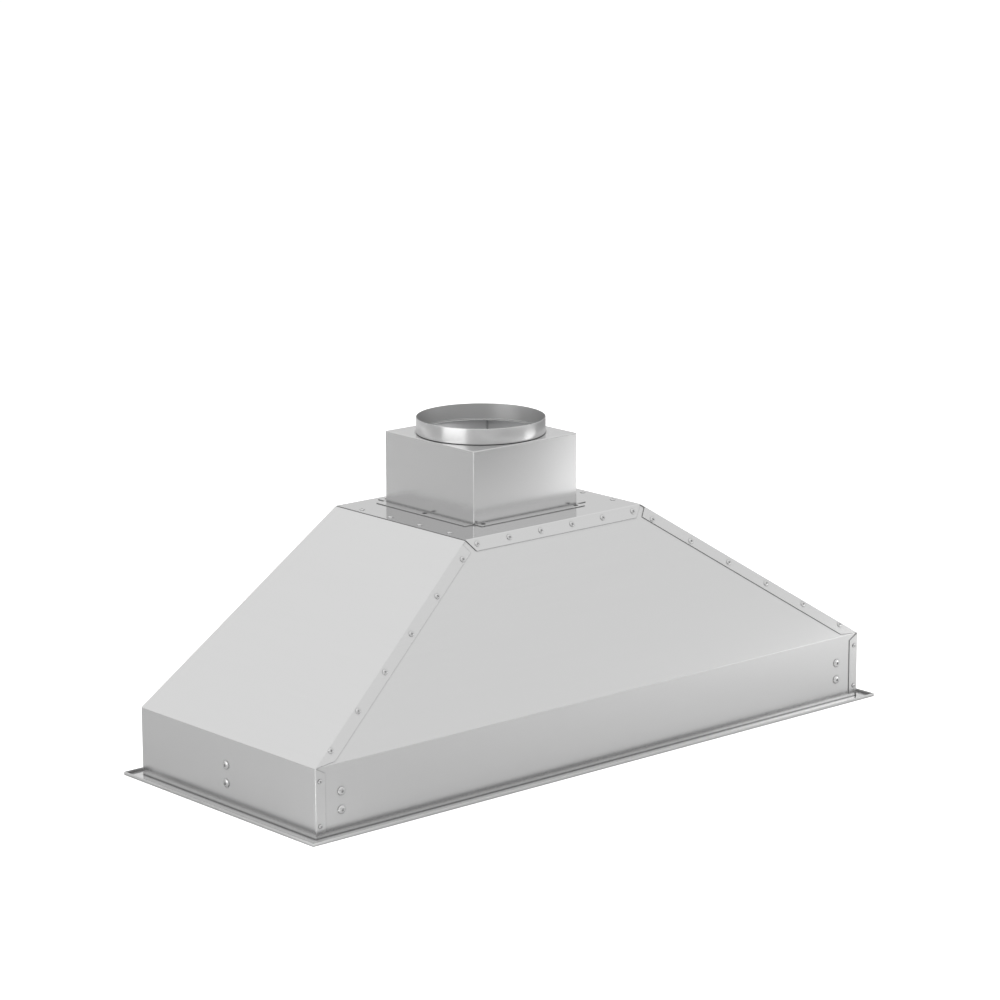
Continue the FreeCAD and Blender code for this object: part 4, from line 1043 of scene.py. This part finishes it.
@dataclass(frozen=True)
class FrostedGlass(Finish):
    """Lamp glass with a fine sand-blasted frost.

    Attributes:
        colour: Tint of the glass.
        roughness: How strong the frost is.
    """

    colour: Colour = (0.94, 0.95, 0.93)
    roughness: float = 0.35

    frost_scale = 2500.0
    frost_depth = 1e-5
    frost_strength = 0.5
    spread = (-0.08, 0.1)
    refraction = 1.5

    def shader(self, sheet: NodeSheet) -> Socket:
        """Fine frost on clear glass.

        Args:
            sheet: The material's empty tree.

        Returns:
            The output that goes to the surface.
        """
        vector = sheet.add("ShaderNodeTexCoord").outputs["Object"]
        fine = FineTexture.place(sheet, {"Vector": vector, "Scale": self.frost_scale}).outputs
        rough = sheet.around(fine["Tone"], self.roughness, self.spread)
        bump = sheet.bump(fine["Height"], self.frost_depth, self.frost_strength)
        return sheet.principled({"Base Color": scaled(self.colour), "Roughness": rough, "IOR": self.refraction,
                                 "Transmission Weight": 1.0, "Normal": bump})


CABINET_MIDDLE = (0.0, 0.03, 0.16)
FLANGE_HOLES = HolePattern(middle=(0.0, 0.074, 0.0), places=((0.096, 0.11575, 0.0), (0.11575, 0.0, 0.0)),
                           radius=0.004)

FINISHES = {
    "brushed_panel": BrushedSteel("brushed_panel_steel", middle=CABINET_MIDDLE),
    "brushed_trim": BrushedSteel("brushed_trim_steel", colour=(0.69, 0.69, 0.69), roughness=0.16),
    "brushed_duct": BrushedSteel("brushed_duct_steel", colour=(0.63, 0.63, 0.63), roughness=0.2, across=2200.0,
                                 fold_radius=0.0014, middle=(0.0, 0.074, 0.36), inner_share=1.4,
                                 inner_haze=0.85, holes=FLANGE_HOLES),
    # The collar's rim and bends get a strong painted highlight.
    "brushed_collar": BrushedSteel("rolled_collar_steel", colour=(0.68, 0.68, 0.68), roughness=0.28,
                                   pattern=Pattern.ROLLED, across=2600.0, fold_highlight=0.9, seam_shade=0.0008,
                                   across_spread=0.6, middle=(0.0, 0.074, 0.49), inner_share=0.72, inner_haze=0.0),
    "rivet_steel": TurnedMetal("rivet_steel_bright", colour=(0.62, 0.62, 0.62), roughness=0.2),
    "galvanised_steel": ZincCoat("galvanised_sheet"),
    "polished_plate": TurnedMetal("polished_plate_steel", colour=(0.7, 0.7, 0.7), roughness=0.1, stain=0.08),
    "filter_steel": BrushedSteel("filter_strip_steel", colour=(0.64, 0.64, 0.65), roughness=0.2, across=900.0,
                                 grain_tone=0.03),
    "button_steel": TurnedMetal("button_turned_steel", colour=(0.7, 0.7, 0.7), roughness=0.14, stain=0.05),
    "lamp_can": TurnedMetal("lamp_spun_aluminium", colour=(0.72, 0.72, 0.72), roughness=0.32),
    "lamp_lens": FrostedGlass("lamp_frosted_glass"),
    "black_plastic": MouldedSkin("black_moulded_plastic", colour=(0.02, 0.02, 0.021), roughness=0.45),
    "white_plastic": MouldedSkin("white_moulded_plastic", colour=(0.76, 0.75, 0.7), roughness=0.4, rub=0.2),
    "motor_paint": MouldedSkin("motor_black_paint", colour=(0.03, 0.03, 0.033), roughness=0.35, pit_depth=1e-5),
    "motor_casting": TurnedMetal("motor_cast_aluminium", colour=(0.52, 0.52, 0.53), roughness=0.5,
                                 pit_scale=700.0, pit_depth=3e-5),
    "bearing_steel": TurnedMetal("bearing_ground_steel", colour=(0.62, 0.62, 0.63), roughness=0.16),
    "grommet_rubber": MouldedSkin("grommet_black_rubber", colour=(0.018, 0.018, 0.018), roughness=0.7, rub=0.15),
    "capacitor_can": TurnedMetal("capacitor_drawn_can", colour=(0.7, 0.7, 0.71), roughness=0.28),
}


NODE_FINISHES = {
    "top_plate": BrushedSteel("brushed_top_steel", roughness=0.12, middle=CABINET_MIDDLE, holes=FLANGE_HOLES),
}


class FinishBook:
    """The finished materials, one for each slot of the record, and those of a few single nodes."""

    def __init__(self) -> None:
        """Build every finish once."""
        self.materials = {slot: finish.material() for slot, finish in FINISHES.items()}
        self.node_materials = {node: finish.material() for node, finish in NODE_FINISHES.items()}

    def of(self, slot: str) -> bpy.types.Material:
        """Material of a slot."""
        return self.materials[slot]

    def dress_nodes(self) -> None:
        """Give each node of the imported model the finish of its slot."""
        for name, node in frame["nodes"].items():
            for holder in node.material_slots:
                holder.material = self.node_materials.get(name) or self.of(holder.material.name)
                LOG.info("%s: finish %s", name, holder.material.name)


# Fastener heads

class Recess(Enum):
    """What is sunk into the middle of a fastener's head."""

    MANDREL = "round hole with the snapped stem of a blind rivet in it"
    SOCKET = "six-sided key socket"
    CROSS = "cross for a screwdriver"


@dataclass(frozen=True)
class HeadShape:
    """Shape of a fastener's head.

    Attributes:
        height: How far the head stands proud of its seat.
        recess: What is sunk into its middle.
        reach_share: Half width of the recess, as a share of the head's radius.
        depth_share: Depth of the recess, as a share of the head's height.
        shank_share: Radius of the shank, as a share of the head's radius.
        skirt_share: Height of the upright rim, as a share of the head's height.
        columns: Points round the head.
    """

    height: float
    recess: Recess
    reach_share: float
    depth_share: float
    shank_share: float
    skirt_share: float = 0.22
    columns: int = 48

    # The same for every head. Shares are of the recess's reach, the head's height or the recess's depth.
    dome_rows = 9
    cross_arm_share = 0.32
    least_sine = 1e-3
    lip_share = 0.93
    lip_drop_share = 0.06
    floor_share = 0.9
    cross_floor_share = 0.62
    floor_dip_share = 0.08
    stem_share = 0.55
    stem_taper = 0.9
    stem_edge_share = 0.35
    stem_top_share = 0.3

    def outline(self, reach: float) -> np.ndarray:
        """Radius of the recess at each column.

        A hexagon's radius is its half width over the cosine of the angle to the nearest flat's middle. A cross's is
        its arm's length, or its arm's half width over the sine of the angle to the arm if that is less.

        Args:
            reach: Half width of the recess.

        Returns:
            One radius for each column.
        """
        angle = np.arange(self.columns) * FULL_TURN / self.columns
        if self.recess is Recess.SOCKET:
            sixth = FULL_TURN / 6
            return reach / np.cos((angle + sixth / 2) % sixth - sixth / 2)
        if self.recess is Recess.CROSS:
            quarter = FULL_TURN / 4
            to_arm = np.abs((angle + quarter / 2) % quarter - quarter / 2)
            return np.minimum(reach, reach * self.cross_arm_share / np.maximum(np.sin(to_arm), self.least_sine))
        return np.full(self.columns, reach)

    def dome(self, radius: float, at: np.ndarray) -> np.ndarray:
        """Height of the dome at a distance from the axis: a quarter of an ellipse on an upright rim."""
        skirt = self.height * self.skirt_share
        return skirt + (self.height - skirt) * np.sqrt(np.maximum(0.0, 1 - (at / radius) ** 2))

    def surface(self, radius: float, length: float) -> Surface:
        """Head and shank, with the seat at nought and the head upwards.

        Args:
            radius: Radius of the head.
            length: Length from the head's crown to the end of the shank.

        Returns:
            The closed surface of one fastener.
        """
        ones = np.ones(self.columns)
        shank = radius * self.shank_share
        end = self.height - length
        rows = [(0 * ones, end * ones), (shank * ones, end * ones), (shank * ones, 0 * ones),
                (radius * ones, 0 * ones)]
        hole = self.outline(radius * self.reach_share)
        for share in np.sin(np.linspace(0, 1, self.dome_rows) * math.pi / 2):
            at = radius + (hole - radius) * share
            rows.append((at, self.dome(radius, at)))
        lip = rows[-1][1]
        sunk = self.height * self.depth_share
        floor = lip - sunk
        floor_share = self.cross_floor_share if self.recess is Recess.CROSS else self.floor_share
        rows += [(hole * self.lip_share, lip - self.height * self.lip_drop_share), (hole * floor_share, floor)]
        if self.recess is Recess.MANDREL:
            stem = hole * self.stem_share
            rows += [(stem, floor), (stem * self.stem_taper, lip - sunk * self.stem_edge_share),
                     (0 * ones, lip - sunk * self.stem_top_share)]
        else:
            rows.append((0 * ones, floor - self.height * self.floor_dip_share))
        radii = np.array([row[0] for row in rows])
        heights = np.array([np.broadcast_to(row[1], (self.columns,)) for row in rows])
        return turned(radii, heights, self.columns)


@dataclass(frozen=True)
class Fasteners:
    """Every riveted or screwed head of the cabinet and the blower.

    Attributes:
        book: The finishes.
        shapes: The head that the fasteners of each node have.
    """

    book: FinishBook
    shapes: Sequence[tuple[str, HeadShape]] = (
        ("hip_rivets", HeadShape(1.9 * MM, Recess.MANDREL, 0.4, 0.8, 0.55)),
        ("top_rivets", HeadShape(1.9 * MM, Recess.MANDREL, 0.4, 0.8, 0.55)),
        ("band_rivets", HeadShape(1.5 * MM, Recess.MANDREL, 0.4, 0.8, 0.55)),
        ("bracket_screws", HeadShape(3.2 * MM, Recess.SOCKET, 0.36, 0.7, 0.47, columns=60)),
        ("outlet_screws", HeadShape(2.2 * MM, Recess.CROSS, 0.5, 0.7, 0.5, columns=64)),
        ("junction_screws", HeadShape(2.4 * MM, Recess.CROSS, 0.5, 0.7, 0.5, columns=64)),
        ("motor_screws", HeadShape(3.0 * MM, Recess.CROSS, 0.5, 0.65, 0.5, columns=64)),
    )

    def build(self) -> None:
        """Make one piece for each group of fasteners."""
        for node, shape in self.shapes:
            pins = node_pins(node)
            first = pins[0]
            one = shape.surface(first.radius, first.length)
            axes = np.array([pin.axis for pin in pins])
            seats = np.array([pin.crown for pin in pins]) - axes * shape.height
            heads = one.repeated(seats, turns_to(axes))
            make_piece(node + "_finished", heads, self.book.of("rivet_steel"), "cabinet", [node])


@dataclass(frozen=True)
class DuctCollar:
    """The round collar on the duct box, with its turned-in foot, soft bend and rolled rim.

    Attributes:
        book: The finishes.
        wall: Thickness of its sheet.
        foot: How far its foot reaches in from the outside.
        bend: Outer radius of the bend above the foot.
        rim_rows: Points over the half-round rim.
        bend_rows: Points round the bend.
        columns: Points round the collar.
    """

    book: FinishBook
    wall: float = 0.9 * MM
    foot: float = 4.0 * MM
    bend: float = 1.5 * MM
    rim_rows: int = 7
    bend_rows: int = 5
    columns: int = 240

    def profile(self, radius: float, low: float, high: float) -> tuple[np.ndarray, np.ndarray]:
        """Closed profile of the sheet.

        It runs out under the foot, round the bend, up the outside, over a half-round rim, down the inside and back
        over the foot. Bends and rim are arcs: centre plus radius times cosine and sine.

        Args:
            radius: Outer radius of the collar.
            low: Height of the foot's underside.
            high: Height of the rim.

        Returns:
            The radius and the height of each corner.
        """
        foot = radius - self.foot
        half = self.wall / 2
        tight = self.bend - self.wall
        over = np.linspace(0, math.pi, self.rim_rows)
        under = np.linspace(-math.pi / 2, 0, self.bend_rows)
        centre = (radius - self.bend, low + self.bend)
        radii = np.concatenate([[foot], centre[0] + self.bend * np.cos(under),
                                radius - self.wall + half + half * np.cos(over),
                                centre[0] + tight * np.cos(under[::-1]), [foot]])
        heights = np.concatenate([[low], centre[1] + self.bend * np.sin(under), high - half + half * np.sin(over),
                                  centre[1] + tight * np.sin(under[::-1]), [low + self.wall]])
        return radii, heights

    def build(self) -> None:
        """Turn the profile about the collar's axis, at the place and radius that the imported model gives."""
        mount = next(one for one in frame["record"]["mounts"] if one["name"] == "duct_collar")
        low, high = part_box("duct_collar")
        middle = (low + high) / 2
        radii, heights = self.profile(mount["dims"]["r_mm"] * MM, low.z, high.z)
        collar = turned(radii, heights, self.columns, closed=True)
        collar.points += np.array([middle.x, middle.y, 0.0])
        make_piece("duct_collar_finished", collar, self.book.of("brushed_collar"), "cabinet",
                   ["duct_collar"])


@dataclass(frozen=True)
class LampChips:
    """The yellow light chips under the lamps' boards, seen through the frosted lenses.

    Attributes:
        finish: What they are made of.
        reach_share: Radius of a chip, as a share of its board's.
        rise: How far a chip stands out of its board.
        rows: Points from a chip's rim to its middle.
        columns: Points round a chip.
    """

    finish: Finish = MouldedSkin("lamp_phosphor", colour=(0.86, 0.68, 0.16), roughness=0.3, rub=0.0)
    reach_share: float = 0.9
    rise: float = 0.6 * MM
    rows: int = 6
    columns: int = 32

    def build(self) -> None:
        """Make one shallow dome under each board: a quarter of an ellipse turned about its axis."""
        boards = sorted(node_solids("lamp_cans"), key=lambda points: float(np.ptp(points[:, 0])))
        boards = boards[:len(boards) // 2]
        lowest = [points[points[:, 2] < points[:, 2].min() + MERGE_GAP] for points in boards]
        reach = np.ptp(lowest[0][:, 0]) / 2 * self.reach_share
        lift = np.linspace(0, math.pi / 2, self.rows)
        chip = turned(reach * np.cos(lift), self.rise * np.sin(lift), self.columns)
        seats = np.array([(ring.max(axis=0) + ring.min(axis=0)) / 2 for ring in lowest])
        down = np.tile([0.0, 0.0, -1.0], (len(seats), 1))
        make_piece("lamp_chips", chip.repeated(seats, turns_to(down)), self.finish.material(), "cabinet")


# Studio

@dataclass(frozen=True)
class SoftBox:
    """A soft lamp of the studio.

    Attributes:
        name: Name of the lamp.
        place: Where its middle is.
        width: Its width.
        height: Its height.
        radiance: How bright its face looks, where 1 is white.
        aim: Point that it faces, where that isn't the studio's target.
        mirrored: Whether metal shows it. A lamp that only lights the floor is flagged off from the metal.
    """

    name: str
    place: Place
    width: float
    height: float
    radiance: float
    aim: Place | None = None
    mirrored: bool = True

    def build(self, target: Place) -> None:
        """Hang the lamp so that it faces its aim or the target, upright if it stands beside the target.

        Args:
            target: Point that lamps without an aim face.
        """
        data = bpy.data.lights.new(self.name, "AREA")
        data.shape = "RECTANGLE"
        data.size = self.width
        data.size_y = self.height
        data.energy = self.radiance * math.pi * self.width * self.height
        lamp = bpy.data.objects.new(self.name, data)
        lamp.location = self.place
        sight = Vector(self.aim or target) - Vector(self.place)
        if self.aim is None and abs(sight.z) < math.hypot(sight.x, sight.y):
            sight.z = 0.0
        lamp.rotation_euler = sight.to_track_quat("-Z", "Y").to_euler()
        lamp.visible_camera = False
        lamp.visible_glossy = self.mirrored
        bpy.context.scene.collection.objects.link(lamp)


@dataclass(frozen=True)
class PhotoView:
    """The photograph's camera, solved from the cabinet's corners.

    Attributes:
        turn: Direction of the view about the upright axis, in degrees.
        lift: Height of the view over level, in degrees.
        roll: Lean of the frame, in degrees.
        focal_share: Focal length as a share of the frame's width.
        offsets: Place of the cabinet's middle from the camera, right, up and away, in cabinet lengths.
        datum: Height of the solved middle.
        sensor_mm: Width of the sensor, which only sets what the focal length is called.
        far_limit: Distance beyond which nothing is shown.
    """

    turn: float = -41.194
    lift: float = 12.888
    roll: float = -0.163
    focal_share: float = 3.5518
    offsets: Place = (0.01785, -0.3319, 4.99304)
    datum: float = -3.5 * MM
    sensor_mm: float = 36.0
    far_limit: float = 200.0

    def build(self) -> None:
        """Place the camera."""
        turn, lift, roll = (math.radians(value) for value in (self.turn, self.lift, self.roll))
        back = Vector((math.sin(turn) * math.cos(lift), -math.cos(turn) * math.cos(lift), math.sin(lift)))
        level = Vector((math.cos(turn), math.sin(turn), 0.0))
        upright = back.cross(level)
        right = level * math.cos(roll) + upright * math.sin(roll)
        up = upright * math.cos(roll) - level * math.sin(roll)
        low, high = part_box("front_panel")
        length = high.x - low.x
        away = right * -self.offsets[0] - up * self.offsets[1] + back * self.offsets[2]
        data = bpy.data.cameras.new("photo_camera")
        data.sensor_width = self.sensor_mm
        data.sensor_fit = "HORIZONTAL"
        data.lens = self.focal_share * data.sensor_width
        data.clip_end = self.far_limit
        camera = bpy.data.objects.new("photo_camera", data)
        turned_axes = Matrix((right, up, back)).transposed().to_4x4()
        camera.matrix_world = Matrix.Translation(away * length + Vector((0.0, 0.0, self.datum))) @ turned_axes
        bpy.context.scene.collection.objects.link(camera)
        bpy.context.scene.camera = camera


@dataclass(frozen=True)
class Studio:
    """Pale floor, pale surroundings, soft lamps and the camera.

    Attributes:
        floor_size: Width of the floor.
        floor_drop: How far the floor lies under the cabinet.
        floor_colour: What the floor reflects.
        floor_lift: Glow that makes the floor white to the camera.
        mirrored_lift: Share of that glow that metal and glass show.
        fill: Share of the walls' light that falls on matt surfaces.
        target: Point that lamps without an aim face.
        wall_foot: Tone of the walls at the floor.
        wall_top: Tone of the walls overhead.
        wall_rise: Where the one tone starts to turn into the other, and where it has done so.
        open_side: Direction of the white side of the room.
        open_reach: How far a direction agrees with that one at the white side's border, outer and inner.
        open_share: How white that side is.
        lamps: The soft lamps.
    """

    floor_size: float = 60.0
    floor_drop: float = 0.0005
    floor_colour: Paint = (0.8, 0.8, 0.8, 1.0)
    floor_lift: float = 0.8
    mirrored_lift: float = 0.04
    fill: float = 0.3
    target: Place = (0.0, 0.0, 0.2)
    wall_foot: Paint = (0.62, 0.62, 0.62, 1.0)
    wall_top: Paint = (1.06, 1.06, 1.06, 1.0)
    wall_rise: tuple[float, float] = (-0.05, 0.6)
    open_side: Place = (0.66, -0.745, -0.1)
    open_reach: tuple[float, float] = (0.84, 0.97)
    open_share: float = 0.9
    lamps: Sequence[SoftBox] = (
        SoftBox("left_box", (-1.65, 0.0, 0.75), 1.3, 1.4, 1.0),
        SoftBox("right_box", (1.04, -0.66, 0.15), 0.6, 0.26, 1.2),
        SoftBox("top_box", (0.0, 0.4, 3.4), 2.4, 2.4, 0.25),
        SoftBox("high_box", (0.0, 0.4, 3.4), 2.4, 2.4, 1.15, mirrored=False),
        SoftBox("front_box", (0.7, -0.95, 1.0), 1.2, 0.4, 6.0, aim=(0.6, -0.5, 0.0), mirrored=False),
        SoftBox("back_box", (-0.4, 2.7, 1.6), 2.8, 1.0, 4.2, aim=(-0.5, 2.3, 0.0), mirrored=False),
        SoftBox("corner_box", (-0.74, -0.41, 0.16), 0.16, 0.16, 7.5, aim=(-0.74, -0.41, 0.0), mirrored=False),
        SoftBox("near_box", (-1.7, -2.1, 1.5), 1.2, 1.0, 5.5, aim=(-1.7, -1.8, 0.0), mirrored=False),
    )

    def build(self) -> None:
        """Set the whole studio up."""
        self.build_floor()
        self.build_surroundings()
        for lamp in self.lamps:
            lamp.build(self.target)
        PhotoView().build()
        bpy.context.scene.view_settings.view_transform = "Standard"

    def build_floor(self) -> None:
        """Lay the floor, which looks white to the camera and keeps the shadow."""
        half = self.floor_size / 2
        corners = [(-half, -half, -self.floor_drop), (half, -half, -self.floor_drop),
                   (half, half, -self.floor_drop), (-half, half, -self.floor_drop)]
        mesh = bpy.data.meshes.new("studio_floor")
        mesh.from_pydata(corners, [], [(0, 1, 2, 3)])
        mesh.materials.append(self.floor_material())
        floor = bpy.data.objects.new("studio_floor", mesh)
        bpy.context.scene.collection.objects.link(floor)

    def seen_directly(self, sheet: NodeSheet, mirrored: float) -> Socket:
        """Mask of the rays that see a surface: one from the camera, and a share of one from metal or glass.

        Args:
            sheet: The tree to add it to.
            mirrored: That share.

        Returns:
            The mask.
        """
        rays = sheet.add("ShaderNodeLightPath").outputs
        sent = sheet.math("MAXIMUM", rays["Is Glossy Ray"], rays["Is Transmission Ray"])
        return sheet.math("MAXIMUM", rays["Is Camera Ray"], sheet.math("MULTIPLY", sent, mirrored))

    def floor_material(self) -> bpy.types.Material:
        """Pale matt floor with a lift for the rays that are seen.

        Returns:
            The new material.
        """
        made = bpy.data.materials.new("studio_floor_paper")
        made.use_nodes = True
        sheet = NodeSheet(made.node_tree)
        seen = self.seen_directly(sheet, self.mirrored_lift)
        matt = sheet.add("ShaderNodeBsdfDiffuse", {"Color": self.floor_colour}).outputs[0]
        strength = sheet.math("MULTIPLY", seen, self.floor_lift)
        glow = sheet.add("ShaderNodeEmission", {"Color": WHITE, "Strength": strength}).outputs[0]
        both = sheet.add("ShaderNodeAddShader", {0: matt, 1: glow}).outputs[0]
        sheet.add("ShaderNodeOutputMaterial", {"Surface": both})
        return made

    def build_surroundings(self) -> None:
        """Surround the studio with pale walls that look white to the camera and even to metal."""
        world = bpy.data.worlds.new("studio_walls")
        bpy.context.scene.world = world
        world.use_nodes = True
        sheet = NodeSheet(world.node_tree)
        direction = sheet.add("ShaderNodeTexCoord").outputs["Generated"]
        height = sheet.add("ShaderNodeSeparateXYZ", {0: direction}).outputs["Z"]
        wall = sheet.blend(sheet.span(height, *self.wall_rise), self.wall_foot, self.wall_top)
        side = sheet.add("ShaderNodeVectorMath", {0: direction, 1: self.open_side}, operation="DOT_PRODUCT")
        beside = sheet.span(side.outputs["Value"], *self.open_reach)
        wall = sheet.blend(sheet.math("MULTIPLY", beside, self.open_share), wall, WHITE)
        rays = sheet.add("ShaderNodeLightPath").outputs
        shown = sheet.blend(rays["Is Camera Ray"], wall, WHITE)
        light = sheet.add("ShaderNodeBackground", {"Color": wall, "Strength": self.fill}).outputs[0]
        back = sheet.add("ShaderNodeBackground", {"Color": shown, "Strength": 1.0}).outputs[0]
        seen = self.seen_directly(sheet, 1.0)
        both = sheet.add("ShaderNodeMixShader", {0: seen, 1: light, 2: back}).outputs[0]
        sheet.add("ShaderNodeOutputWorld", {"Surface": both})


def main() -> None:
    """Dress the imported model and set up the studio."""
    logging.basicConfig(level=logging.INFO, format="%(message)s")
    book = FinishBook()
    book.dress_nodes()
    for assembly in (Fasteners(book), DuctCollar(book), LampChips()):
        assembly.build()
    Studio().build()


if __name__ == "__main__":
    main()
